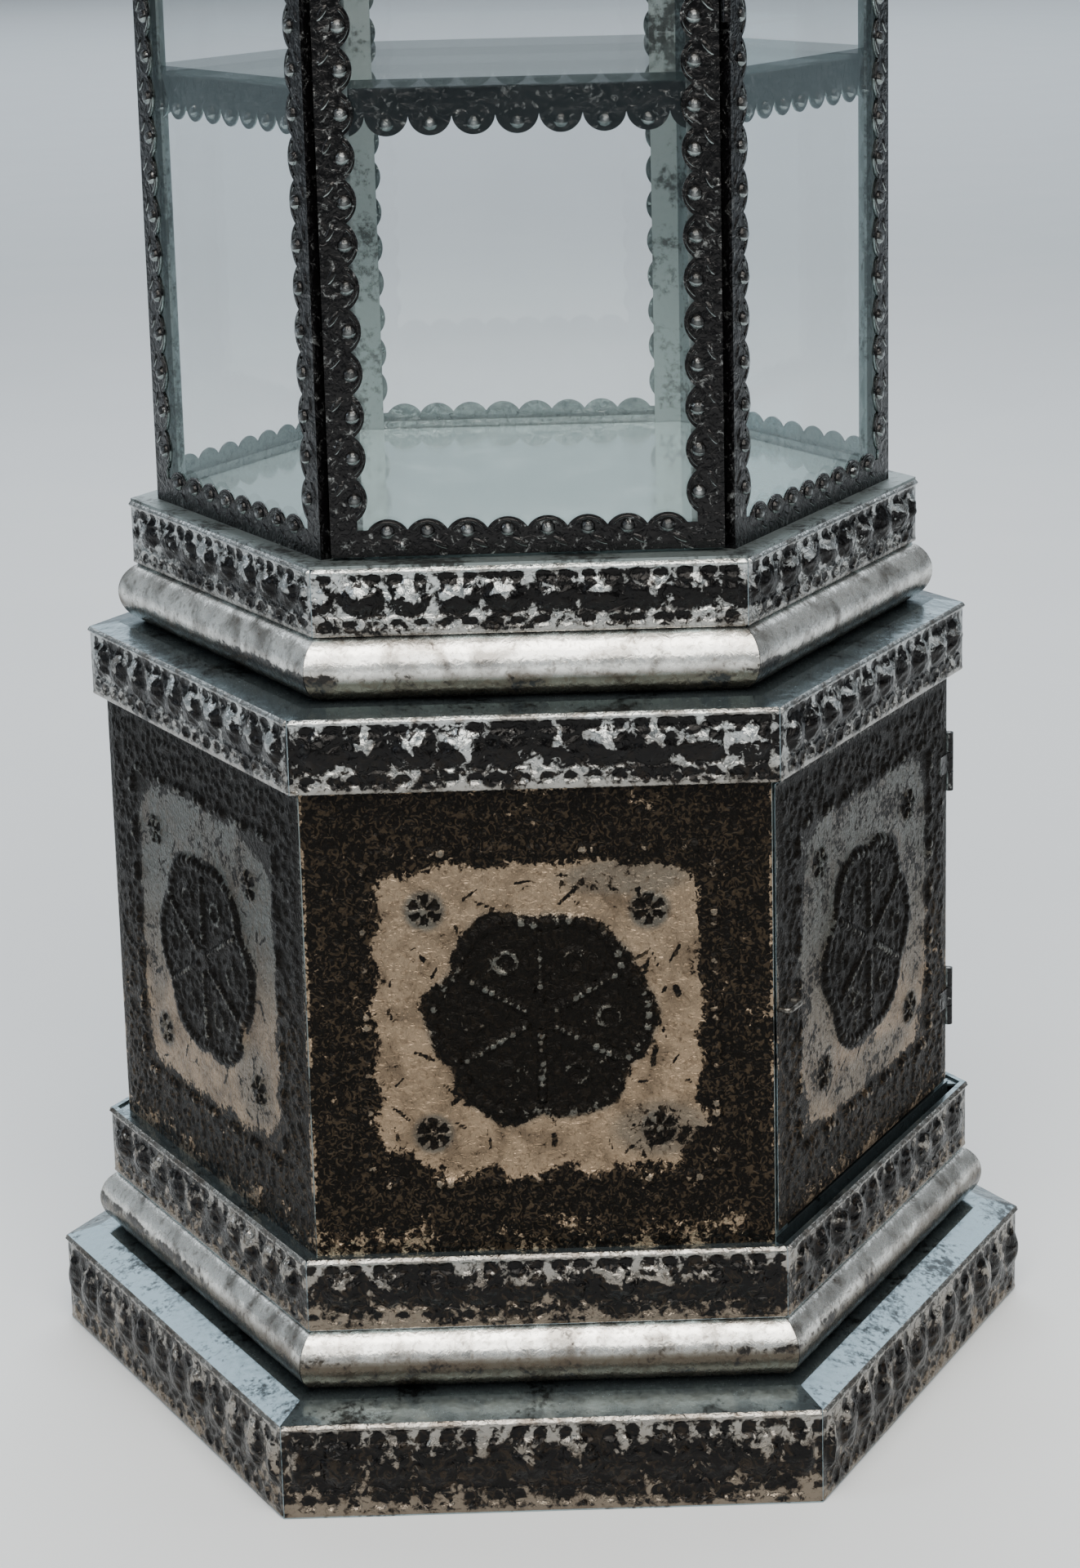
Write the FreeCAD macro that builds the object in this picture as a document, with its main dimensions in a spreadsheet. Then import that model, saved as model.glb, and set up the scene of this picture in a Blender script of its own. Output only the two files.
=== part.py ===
import FreeCAD, Part
import math
import os
import Sketcher

# A hexagonal tinplate display cabinet: a moulded drum base with a small door,
# and a glazed lantern above it with a mirror floor, two glass shelves and a door.
# Millimetres, +Z up, origin at the middle of the underside.
# The front face looks along -Y and two corners of the hexagon lie on the X axis.

Vector = FreeCAD.Vector
COS30 = 0.8660254
TAN30 = 0.5773503

SIZES = [
    # sheet and glass
    ("tin", 0.5, "folded strip thickness"),
    ("sheet", 0.8, "panel and moulding thickness"),
    ("glass", 1.8, "pane thickness"),
    ("pane_slack", 0.3, "room round a pane in its channel"),
    ("shelf_glass", 2.6, "shelf and mirror thickness"),
    ("seam", 0.05, "half of the gap at a soldered mitre"),
    # base and drum, corner radii and heights
    ("drum_radius", 130.0, "corner radius of the drum"),
    ("plinth_overhang", 9.8, "plinth band beyond the half-round above it"),
    ("plinth_height", 28.5, "height of the plinth band"),
    ("slope_rise", 3.0, "rise of the sloped top of a band"),
    ("bead_round", 9.25, "radius of the half-round mouldings"),
    ("bead_reach", 4.35, "reach of the cornice half-round beyond the upper band"),
    ("bead_step", 0.7, "foot of a half-round to the slope under it"),
    ("flange", 9.0, "inward fold at the top of the upper band"),
    ("rim_overhang", 4.9, "rim band beyond the drum"),
    ("rim_height", 21.5, "height of the rim band"),
    ("drum_height", 157.0, "drum from the plinth deck to the soffit"),
    ("post_leg", 9.0, "leg of an inside corner post"),
    ("drum_post", 1.6, "thickness of a drum post"),
    # cornice
    ("cornice_overhang", 3.5, "lower cornice band beyond the drum"),
    ("cornice_height", 21.2, "height of the lower cornice band"),
    ("cornice_rise", 1.3, "rise of the cornice band's sloped top"),
    ("upper_overhang", 6.5, "upper cornice band beyond the lantern"),
    ("upper_height", 19.0, "height of the upper cornice band"),
    # lantern
    ("lantern_inset", 18.0, "lantern's corners inside the drum's"),
    ("bay_height", 127.6, "height of one display bay"),
    ("frame_depth", 3.2, "depth of a fixed pane's channel"),
    ("door_depth", 2.9, "depth of the door's channel"),
    ("corner_clearance", 0.15, "spare room between two frames at a corner"),
    ("strip_width", 7.4, "flat width of a scalloped strip"),
    ("strip_back", 5.0, "width of a strip's inner leaf"),
    ("scallop_pitch", 11.6, "length of one scallop of the stamp"),
    ("scallop_reach", 3.0, "height of one scallop"),
    ("door_clearance", 0.9, "gap above and below the glazed door"),
    ("valance_height", 7.4, "flat height of a shelf's valance"),
    ("valance_reach", 5.2, "height of one scallop of a valance"),
    ("valance_lip", 6.0, "ledge that carries a shelf"),
    ("shelf_clearance", 0.4, "gap round a shelf"),
    # drum door
    ("door_gap", 2.2, "gap above the drum door"),
    ("door_edge_gap", 1.7, "gap beside the drum door"),
    ("door_stop_gap", 0.3, "gap between the drum door and its posts"),
    # hinges
    ("knuckle_radius", 1.4, "outside radius of a rolled knuckle"),
    ("knuckle_gap", 0.55, "room between a knuckle and a panel's edge"),
    ("pin_radius", 0.6, "hinge wire radius"),
    ("pin_clearance", 0.05, "radial clearance of a hinge wire"),
    ("tab_height", 6.0, "height of one hinge tab"),
    ("tab_gap", 0.3, "gap between two hinge tabs"),
    ("tab_length", 8.0, "length of a hinge tab on its strip"),
    ("shelf_to_hinge", 15.6, "shelf's underside to the hinge above it"),
    ("drum_hinge_inset", 18.0, "drum door's foot to the lower hinge"),
    # pulls
    ("wire_radius", 0.75, "pull wire radius"),
    ("pull_span", 8.0, "length of a pull"),
    ("pull_reach", 3.2, "reach of a pull"),
    ("pull_inset", 3.4, "corner to the pull's first leg"),
    ("pull_bend", 1.4, "bend radius of a pull"),
    # roof
    ("roof_rise", 76.0, "rise of the roof panels"),
    ("roof_top", 19.0, "apothem of the roof's open top"),
    ("cap_radius", 25.0, "corner radius of the cap"),
    ("cap_height", 3.0, "thickness of the cap"),
    ("finial_ball", 9.0, "radius of the finial's ball"),
    ("finial_stem", 14.0, "height of the finial's stem"),
    ("collar_radius", 8.1, "radius of the finial's collar"),
    ("collar_height", 2.0, "height of the finial's collar"),
    ("collar_slope", 3.0, "height of the cone from collar to neck"),
    ("neck_radius", 3.6, "radius of the finial's neck"),
    ("ridge_width", 4.0, "width of a ridge strip"),
    ("ridge_height", 1.2, "height of a ridge strip"),
    ("ridge_run", 5.0, "roof's open top to the end of a ridge strip"),
]

doc = FreeCAD.newDocument("display_cabinet")
sizes = doc.addObject("Spreadsheet::Sheet", "Sizes")
for row, (alias, value, note) in enumerate(SIZES, start=1):
    sizes.set(f"A{row}", note)
    sizes.set(f"B{row}", str(value))
    sizes.setAlias(f"B{row}", alias)
doc.recompute()

NODES = []


def size(alias):
    return f"Sizes.{alias}"


def number(expression):
    """The value that an expression has in the sheet."""
    value = sizes.evalExpression(str(expression))
    return float(value.Value if hasattr(value, "Value") else value)


def apothem(alias):
    return f"(Sizes.{alias} * {COS30})"


# Levels, each the sum of what stands under it.
TIN = size("tin")
SHEET = size("sheet")
SLOPE_Z = f"({size('plinth_height')} + {size('slope_rise')})"
DECK_Z = f"({SLOPE_Z} + 2 * {size('bead_round')})"
DRUM_Z = f"({DECK_Z} + {SHEET})"
RIM_Z = f"({DECK_Z} + {size('rim_height')})"
SOFFIT_Z = f"({DRUM_Z} + {size('drum_height')} - {SHEET})"
CORNICE_Z = f"({SOFFIT_Z} + {size('cornice_height')})"
CORNICE_TOP = f"({CORNICE_Z} + {size('cornice_rise')})"
UPPER_Z = f"({CORNICE_TOP} + 2 * {size('bead_round')})"
UPPER_TOP = f"({UPPER_Z} + {size('upper_height')})"
LANTERN_Z = f"({UPPER_TOP} + {SHEET})"
LANTERN_TOP = f"({LANTERN_Z} + 3 * {size('bay_height')})"
CROWN_Z = f"({LANTERN_TOP} + {SHEET})"
CROWN_TOP = f"({CROWN_Z} + {size('upper_height')})"
CROWN_BEAD = f"({CROWN_TOP} + {SHEET})"
EAVES_Z = f"({CROWN_BEAD} + 2 * {size('bead_round')})"
EAVES_TOP = f"({EAVES_Z} + {size('cornice_height')})"
ROOF_TOP = f"({EAVES_TOP} + {size('roof_rise')})"

# Apothems, the distances from the axis to the middle of a side.
A_DRUM = apothem("drum_radius")
LANTERN_RADIUS = f"({size('drum_radius')} - {size('lantern_inset')})"
A_LANTERN = f"({LANTERN_RADIUS} * {COS30})"
A_PLINTH = f"({A_DRUM} + {size('bead_round')} + {size('plinth_overhang')})"
A_RIM = f"({A_DRUM} + {size('rim_overhang')})"
A_CORNICE = f"({A_DRUM} + {size('cornice_overhang')})"
A_UPPER = f"({A_LANTERN} + {size('upper_overhang')})"
A_BEAD_LOW = A_DRUM
A_BEAD_UP = f"({A_UPPER} + {size('bead_reach')} - {size('bead_round')})"
A_POST = f"({A_LANTERN} - {size('frame_depth')})"
A_INSIDE = f"({A_POST} - {SHEET})"
A_DRUM_IN = f"({A_DRUM} - {SHEET})"


def origin_part(body, role):
    return next(item for item in body.Origin.OriginFeatures if item.Role == role)


def new_body(label, turn=0.0):
    body = doc.addObject("PartDesign::Body", label)
    body.Label = label
    body.Placement = FreeCAD.Placement(Vector(), FreeCAD.Rotation(Vector(0, 0, 1), turn))
    NODES.append(body)
    return body


def new_sketch(body, name, role, offset="0"):
    sketch = body.newObject("Sketcher::SketchObject", name)
    sketch.AttachmentSupport = [(origin_part(body, role), "")]
    sketch.MapMode = "FlatFace"
    sketch.setExpression("AttachmentOffset.Base.z", str(offset))
    return sketch


def tie(sketch, kind, first, expression):
    """A sketch size bound to an expression over the sheet."""
    value = number(expression)
    if kind == "Radius":
        index = sketch.addConstraint(Sketcher.Constraint("Radius", first, value))
    else:
        geometry, point = first
        index = sketch.addConstraint(Sketcher.Constraint(kind, -1, 1, geometry, point, value))
    sketch.setExpression(f"Constraints[{index}]", str(expression))


def polygon(sketch, corners):
    """A closed outline whose corners are pairs of expressions."""
    points = [Vector(number(x), number(y), 0) for x, y in corners]
    count = len(points)
    first = sketch.GeometryCount
    lines = [Part.LineSegment(points[i], points[(i + 1) % count]) for i in range(count)]
    sketch.addGeometry(lines, False)
    for i in range(count):
        after = first + (i + 1) % count
        sketch.addConstraint(Sketcher.Constraint("Coincident", first + i, 2, after, 1))
    for i, (x, y) in enumerate(corners):
        tie(sketch, "DistanceX", (first + i, 1), x)
        tie(sketch, "DistanceY", (first + i, 1), y)


def rectangle(sketch, x0, y0, x1, y1):
    polygon(sketch, [(x0, y0), (x1, y0), (x1, y1), (x0, y1)])


def free_outline(sketch, edges):
    """An outline of lines and arcs whose points come from the sheet's values."""
    sketch.addGeometry(edges, False)


def pad(body, sketch, length, both_ways=False):
    feature = body.newObject("PartDesign::Pad", f"{sketch.Name}Pad")
    feature.Profile = sketch
    feature.SideType = "Symmetric" if both_ways else "One side"
    feature.setExpression("Length", str(length))
    sketch.Visibility = False
    body.Tip = feature
    return feature


def cut_through(body, sketch):
    feature = body.newObject("PartDesign::Pocket", f"{sketch.Name}Cut")
    feature.Profile = sketch
    feature.SideType = "Symmetric"
    feature.Type = "ThroughAll"
    body.Tip = feature
    return feature


def ring(body, count=6, angle=360.0):
    """Copies of the whole piece, turned about the axis."""
    doc.recompute()
    pattern = body.newObject("PartDesign::PolarPattern", f"{body.Name}Ring")
    pattern.TransformMode = "Whole shape"
    pattern.Axis = (origin_part(body, "Z_Axis"), [""])
    pattern.Angle = angle
    pattern.Occurrences = count
    body.Tip = pattern
    return pattern


def repeat_up(body, spacing):
    """One more copy of the whole piece, higher up."""
    doc.recompute()
    pattern = body.newObject("PartDesign::LinearPattern", f"{body.Name}Pair")
    pattern.TransformMode = "Whole shape"
    pattern.Direction = (origin_part(body, "Z_Axis"), [""])
    pattern.setExpression("Length", str(spacing))
    pattern.Occurrences = 2
    body.Tip = pattern
    return pattern


def mitre(body, inner, outer):
    """Cuts both ends of a front strip to the sixty-degree sector of its side."""
    sketch = new_sketch(body, f"{body.Name}Mitre", "XY_Plane")
    near = f"({inner} - 4)"
    far = f"({outer} + 4)"
    beyond = f"({outer} * {TAN30} + 20)"
    for sign in ("", "-"):
        polygon(sketch, [
            (f"{sign}({near} * {TAN30} - {size('seam')})", f"-{near}"),
            (f"{sign}({far} * {TAN30} - {size('seam')})", f"-{far}"),
            (f"{sign}{beyond}", f"-{far}"),
            (f"{sign}{beyond}", f"-{near}"),
        ])
    return cut_through(body, sketch)


def strip_ring(label, section, inner, outer, count=6, angle=360.0, turn=0.0):
    """A hexagonal moulding of separate mitred lengths with one section.

    The section's corners are pairs of apothem and height."""
    body = new_body(label, turn)
    sketch = new_sketch(body, f"{label}Section", "YZ_Plane")
    polygon(sketch, [(f"-({reach})", level) for reach, level in section])
    pad(body, sketch, f"2 * {outer} * {TAN30} + 20", both_ways=True)
    mitre(body, inner, outer)
    if count > 1:
        ring(body, count, angle)
    return body


def bead_ring(label, middle, foot):
    """A hexagonal half-round moulding, a shell of six mitred lengths."""
    body = new_body(label)
    sketch = new_sketch(body, f"{label}Section", "YZ_Plane")
    radius = size("bead_round")
    hollow = f"({radius} - {SHEET})"
    level = f"({foot} + {radius})"
    centre = Vector(-number(middle), number(level), 0)
    arcs = []
    for arc_radius in (radius, hollow):
        circle = Part.Circle(centre, Vector(0, 0, 1), number(arc_radius))
        arcs.append(Part.ArcOfCircle(circle, math.pi / 2, 3 * math.pi / 2))
    sketch.addGeometry(arcs, False)
    sketch.addGeometry(Part.LineSegment(arcs[0].StartPoint, arcs[1].StartPoint), False)
    sketch.addGeometry(Part.LineSegment(arcs[0].EndPoint, arcs[1].EndPoint), False)
    for pair in ((0, 1, 2, 1), (1, 1, 2, 2), (0, 2, 3, 1), (1, 2, 3, 2), (0, 3, 1, 3)):
        sketch.addConstraint(Sketcher.Constraint("Coincident", *pair))
    tie(sketch, "DistanceX", (0, 3), f"-({middle})")
    tie(sketch, "DistanceY", (0, 3), level)
    tie(sketch, "Radius", 0, radius)
    tie(sketch, "Radius", 1, hollow)
    for geometry in (2, 3):
        sketch.addConstraint(Sketcher.Constraint("Vertical", geometry))
        sketch.addConstraint(Sketcher.Constraint("PointOnObject", 0, 3, geometry))
    outer = f"({middle} + {radius})"
    pad(body, sketch, f"2 * {outer} * {TAN30} + 20", both_ways=True)
    mitre(body, middle, outer)
    ring(body)
    return body


def hexagon_plate(label, reach, foot, thickness):
    """A flat hexagonal sheet, given by the apothem that it reaches."""
    plate = doc.addObject("Part::Prism", label)
    plate.Label = label
    plate.Polygon = 6
    plate.setExpression("Circumradius", f"{reach} / {COS30}")
    plate.setExpression("Height", str(thickness))
    plate.setExpression("Placement.Base.z", str(foot))
    NODES.append(plate)
    return plate


# The base: a foot sheet inside an embossed plinth band with a sloped top.
hexagon_plate("foot_plate", f"({A_PLINTH} - {SHEET})", "0", SHEET)
A_SLOPE = f"({A_BEAD_LOW} + {size('bead_round')} + {size('bead_step')})"
strip_ring(
    "plinth_band",
    [
        (A_PLINTH, "0"),
        (A_PLINTH, size("plinth_height")),
        (A_SLOPE, SLOPE_Z),
        (f"{A_BEAD_LOW} - 1", SLOPE_Z),
        (f"{A_BEAD_LOW} - 1", f"{SLOPE_Z} - {SHEET}"),
        (A_SLOPE, f"{SLOPE_Z} - {SHEET}"),
        (f"{A_PLINTH} - {SHEET}", f"{size('plinth_height')} - {SHEET} * 0.6"),
        (f"{A_PLINTH} - {SHEET}", "0"),
    ],
    f"({A_BEAD_LOW} - 1)", A_PLINTH,
)
bead_ring("plinth_torus", A_BEAD_LOW, SLOPE_Z)
hexagon_plate("plinth_deck", f"({A_RIM} - {SHEET})", DECK_Z, SHEET)
RIM_HEM = f"({A_RIM} - 2 * {SHEET})"
strip_ring(
    "plinth_rim",
    [
        (A_RIM, DECK_Z),
        (A_RIM, RIM_Z),
        (RIM_HEM, RIM_Z),
        (RIM_HEM, f"{RIM_Z} - {SHEET}"),
        (f"{A_RIM} - {SHEET}", f"{RIM_Z} - {SHEET}"),
        (f"{A_RIM} - {SHEET}", DECK_Z),
    ],
    RIM_HEM, A_RIM,
)
# The ledge closes the groove behind the rim on five sides; the door's side stays open.
strip_ring(
    "plinth_ledge",
    [
        (f"{A_RIM} - {SHEET}", f"{RIM_Z} - {SHEET}"),
        (f"{A_RIM} - {SHEET}", f"{RIM_Z} - 2 * {SHEET}"),
        (f"{A_DRUM}", f"{RIM_Z} - 2 * {SHEET}"),
        (f"{A_DRUM}", f"{RIM_Z} - {SHEET}"),
    ],
    A_DRUM, A_RIM, count=5, angle=240.0, turn=120.0,
)

# The drum: five fixed panels, inside corner posts, and a sill under the door.
DRUM_SHEET = [
    (A_DRUM, DRUM_Z),
    (A_DRUM, SOFFIT_Z),
    (A_DRUM_IN, SOFFIT_Z),
    (A_DRUM_IN, DRUM_Z),
]
FACES = [
    ("front", 0.0),
    ("back_right", 120.0),
    ("back", 180.0),
    ("back_left", 240.0),
    ("front_left", 300.0),
]
KNUCKLE_ROOM = f"({size('knuckle_radius')} + {size('knuckle_gap')})"
for face, turn in FACES:
    panel = strip_ring(f"drum_panel_{face}", DRUM_SHEET, A_DRUM_IN, A_DRUM, count=1, turn=turn)
    if face == "back_right":
        # This panel stops short of the corner where the drum door's knuckles turn.
        relief = new_sketch(panel, "KnuckleRoom", "XY_Plane")
        corner = f"({size('drum_radius')} / 2)"
        rectangle(
            relief, f"-{corner} - 1", f"-{A_DRUM} - 1",
            f"-{corner} + {KNUCKLE_ROOM}", f"-{A_DRUM} + 2 * {SHEET}",
        )
        cut_through(panel, relief)

DOOR_FOOT = f"({RIM_Z} + {size('door_clearance')} + {size('door_edge_gap')} / 2)"
DOOR_HEAD = f"({SOFFIT_Z} - {size('door_gap')})"
sill = strip_ring(
    "drum_door_sill",
    [
        (A_DRUM, DRUM_Z),
        (A_DRUM, f"{RIM_Z} + {size('door_clearance')} / 2"),
        (A_DRUM_IN, f"{RIM_Z} + {size('door_clearance')} / 2"),
        (A_DRUM_IN, DRUM_Z),
    ],
    A_DRUM_IN, A_DRUM, count=1, turn=60.0,
)


def corner_posts(label, face, thick, flat, foot, head):
    """Six inside angle strips, one in each corner, with their outer faces on a given apothem.

    The fold is flattened at the given corner radius, so that a hinge knuckle clears it."""
    body = new_body(label)
    sketch = new_sketch(body, f"{label}Section", "XY_Plane", foot)
    leg = size("post_leg")
    outer = f"(({face}) / {COS30})"
    inner = f"((({face}) - {thick}) / {COS30})"
    end_x = f"({outer} - {leg} / 2)"
    end_y = f"({leg} * {COS30})"
    back_x = f"({end_x} - {thick} * {COS30})"
    back_y = f"({end_y} - {thick} / 2)"
    flat_y = f"(({outer} - {flat}) / {TAN30})"
    polygon(sketch, [
        (flat, flat_y),
        (end_x, end_y),
        (back_x, back_y),
        (inner, "0"),
        (back_x, f"-{back_y}"),
        (end_x, f"-{end_y}"),
        (flat, f"-{flat_y}"),
    ])
    pad(body, sketch, f"{head} - {foot}")
    ring(body)
    return body


POST_FLAT = f"({size('drum_radius')} - {KNUCKLE_ROOM})"
corner_posts("drum_posts", A_DRUM_IN, size("drum_post"), POST_FLAT, DRUM_Z, SOFFIT_Z)

# The drum door: the panel of the right-hand face, drawn on the front face and turned.
DOOR_TURN = 60.0
door = new_body("drum_door_panel", DOOR_TURN)
door_outline = new_sketch(door, "DoorOutline", "XZ_Plane", f"{A_DRUM_IN} + {size('door_stop_gap')}")
HALF_SIDE = f"({size('drum_radius')} / 2)"
rectangle(
    door_outline, f"-({HALF_SIDE} - {size('door_edge_gap')})", DOOR_FOOT,
    f"{HALF_SIDE} - {KNUCKLE_ROOM}", DOOR_HEAD,
)
pad(door, door_outline, f"{SHEET} - {size('door_stop_gap')}")


def wire_pull(label, face, side_half, level, turn):
    """A bent-wire pull on a door's free edge: two legs and a bar, with round bends."""
    body = new_body(label, turn)
    bend = number(size("pull_bend"))
    start = -(number(side_half) - number(size("pull_inset")))
    end = start + number(size("pull_span"))
    skin = -number(face)
    out = skin - number(size("pull_reach"))
    circle = new_sketch(body, f"{label}Wire", "XZ_Plane", face)
    circle.addGeometry(Part.Circle(Vector(start, number(level), 0), Vector(0, 0, 1), 0.7), False)
    tie(circle, "DistanceX", (0, 3), f"-({side_half} - {size('pull_inset')})")
    tie(circle, "DistanceY", (0, 3), level)
    tie(circle, "Radius", 0, size("wire_radius"))
    path = new_sketch(body, f"{label}Path", "XY_Plane", level)
    slant = bend * (1 - math.sqrt(0.5))
    free_outline(path, [
        Part.LineSegment(Vector(start, skin, 0), Vector(start, out + bend, 0)),
        Part.Arc(
            Vector(start, out + bend, 0),
            Vector(start + slant, out + slant, 0),
            Vector(start + bend, out, 0),
        ),
        Part.LineSegment(Vector(start + bend, out, 0), Vector(end - bend, out, 0)),
        Part.Arc(
            Vector(end - bend, out, 0),
            Vector(end - slant, out + slant, 0),
            Vector(end, out + bend, 0),
        ),
        Part.LineSegment(Vector(end, out + bend, 0), Vector(end, skin, 0)),
    ])
    for i in range(4):
        path.addConstraint(Sketcher.Constraint("Coincident", i, 2, i + 1, 1))
    sweep = body.newObject("PartDesign::AdditivePipe", f"{label}Sweep")
    sweep.Profile = circle
    sweep.Spine = path
    body.Tip = sweep
    return body


DOOR_MIDDLE = f"(({DOOR_FOOT} + {DOOR_HEAD}) / 2)"
wire_pull("drum_door_pull", A_DRUM, HALF_SIDE, DOOR_MIDDLE, DOOR_TURN)


def hinge_tabs(label, radius, side, foot, spacing, tab_step, turn):
    """Tin tabs rolled round the hinge wire at the front-right corner.

    Side -1 lies on the front face, which is the door, and side 1 on its neighbour."""
    body = new_body(label, turn)
    knuckle = number(size("knuckle_radius"))
    bore = number(f"{size('pin_radius')} + {size('pin_clearance')}")
    thick = number(TIN)
    length = number(size("tab_length"))
    corner = Vector(number(radius) / 2, -number(radius) * COS30, 0)
    if side < 0:
        along = Vector(-1, 0, 0)
        outward = Vector(0, -1, 0)
    else:
        along = Vector(0.5, COS30, 0)
        outward = Vector(COS30, -0.5, 0)

    def at(u, v):
        return corner + along * u + outward * v

    reach = math.sqrt(knuckle ** 2 - thick ** 2)
    sketch = new_sketch(body, f"{label}Section", "XY_Plane", foot)
    free_outline(sketch, [
        Part.LineSegment(at(knuckle, 0), at(length, 0)),
        Part.LineSegment(at(length, 0), at(length, thick)),
        Part.LineSegment(at(length, thick), at(reach, thick)),
        Part.Arc(at(reach, thick), at(-knuckle, 0), at(knuckle, 0)),
        Part.Circle(corner, Vector(0, 0, 1), bore),
    ])
    pad(body, sketch, size("tab_height"))
    if tab_step:
        repeat_up(body, tab_step)
    repeat_up(body, spacing)
    return body


def hinge_pins(label, radius, foot, spacing, turn):
    body = new_body(label, turn)
    sketch = new_sketch(body, f"{label}Section", "XY_Plane", foot)
    corner = Vector(number(radius) / 2, -number(radius) * COS30, 0)
    sketch.addGeometry(Part.Circle(corner, Vector(0, 0, 1), 0.5), False)
    tie(sketch, "DistanceX", (0, 3), f"{radius} / 2")
    tie(sketch, "DistanceY", (0, 3), f"-{radius} * {COS30}")
    tie(sketch, "Radius", 0, size("pin_radius"))
    pad(body, sketch, f"3 * {size('tab_height')} + 2 * {size('tab_gap')}")
    repeat_up(body, spacing)
    return body


TAB_STEP = f"({size('tab_height')} + {size('tab_gap')})"


def hinge_set(prefix, radius, foot, spacing, turn):
    """Two hinges: door tabs between pairs of frame tabs, on one wire each."""
    hinge_tabs(f"{prefix}_door_tabs", radius, -1, f"{foot} + {TAB_STEP}", spacing, None, turn)
    hinge_tabs(f"{prefix}_frame_tabs", radius, 1, foot, spacing, f"2 * {TAB_STEP}", turn)
    hinge_pins(f"{prefix}_hinge_pins", radius, foot, spacing, turn)


DRUM_HINGE = f"({DOOR_FOOT} + {size('drum_hinge_inset')})"
HINGE_TALL = f"(3 * {size('tab_height')} + 2 * {size('tab_gap')})"
hinge_set(
    "drum", size("drum_radius"), DRUM_HINGE,
    f"({DOOR_HEAD} - {DOOR_FOOT} - 2 * {size('drum_hinge_inset')} - {HINGE_TALL})", DOOR_TURN,
)

# The cornice: soffit sheet, embossed band with a sloped top, half-round, upper band.
hexagon_plate("cornice_soffit", f"({A_CORNICE} - {SHEET})", SOFFIT_Z, SHEET)
A_CORNICE_SLOPE = f"({A_BEAD_UP} + {size('bead_round')} + {size('bead_step')})"
strip_ring(
    "cornice_lower_band",
    [
        (A_CORNICE, SOFFIT_Z),
        (A_CORNICE, CORNICE_Z),
        (A_CORNICE_SLOPE, CORNICE_TOP),
        (f"{A_BEAD_UP} - 1", CORNICE_TOP),
        (f"{A_BEAD_UP} - 1", f"{CORNICE_TOP} - {SHEET}"),
        (A_CORNICE_SLOPE, f"{CORNICE_TOP} - {SHEET}"),
        (f"{A_CORNICE} - {SHEET}", f"{CORNICE_Z} - {SHEET} * 0.6"),
        (f"{A_CORNICE} - {SHEET}", SOFFIT_Z),
    ],
    f"({A_BEAD_UP} - 1)", A_CORNICE,
)
bead_ring("cornice_torus", A_BEAD_UP, CORNICE_TOP)
hexagon_plate("cornice_plate", f"({A_UPPER} - {SHEET})", UPPER_Z, SHEET)
strip_ring(
    "cornice_upper_band",
    [
        (A_UPPER, UPPER_Z),
        (A_UPPER, UPPER_TOP),
        (f"{A_UPPER} - {size('flange')}", UPPER_TOP),
        (f"{A_UPPER} - {size('flange')}", f"{UPPER_TOP} - {SHEET}"),
        (f"{A_UPPER} - {SHEET}", f"{UPPER_TOP} - {SHEET}"),
        (f"{A_UPPER} - {SHEET}", UPPER_Z),
    ],
    f"({A_UPPER} - {size('flange')})", A_UPPER,
)
hexagon_plate("deck_plate", A_UPPER, UPPER_TOP, SHEET)
hexagon_plate(
    "mirror_floor", f"({A_INSIDE} - {size('shelf_clearance')})", LANTERN_Z, size("shelf_glass"),
)

# The lantern: six framed panes, the front one a door, and six inside corner posts.
LANTERN_FLAT = f"({A_POST} / {COS30} - {SHEET} / 2)"
corner_posts("lantern_posts", A_POST, SHEET, LANTERN_FLAT, LANTERN_Z, LANTERN_TOP)


def scallops(start, end, reach, inward):
    """Arcs along a straight edge, each bulging by the same height to one side."""
    span = end - start
    count = max(1, round(span.Length / number(size("scallop_pitch"))))
    step = span / count
    arcs = []
    for i in range(count):
        near = start + step * i
        arcs.append(Part.Arc(near, near + step * 0.5 + inward * reach, near + step))
    return arcs


def strip_leaf(foot, head, mitre_foot, mitre_head, inward, reach, plain):
    """One scalloped strip: an outer edge, mitred ends and a stamped inner edge."""
    run = (mitre_head - mitre_foot).normalize() * plain
    near = mitre_foot + run
    far = mitre_head - run
    edges = [
        Part.LineSegment(head, foot),
        Part.LineSegment(foot, mitre_foot),
        Part.LineSegment(mitre_foot, near),
    ]
    edges += scallops(near, far, reach, inward)
    edges += [Part.LineSegment(far, mitre_head), Part.LineSegment(mitre_head, head)]
    return edges


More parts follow.
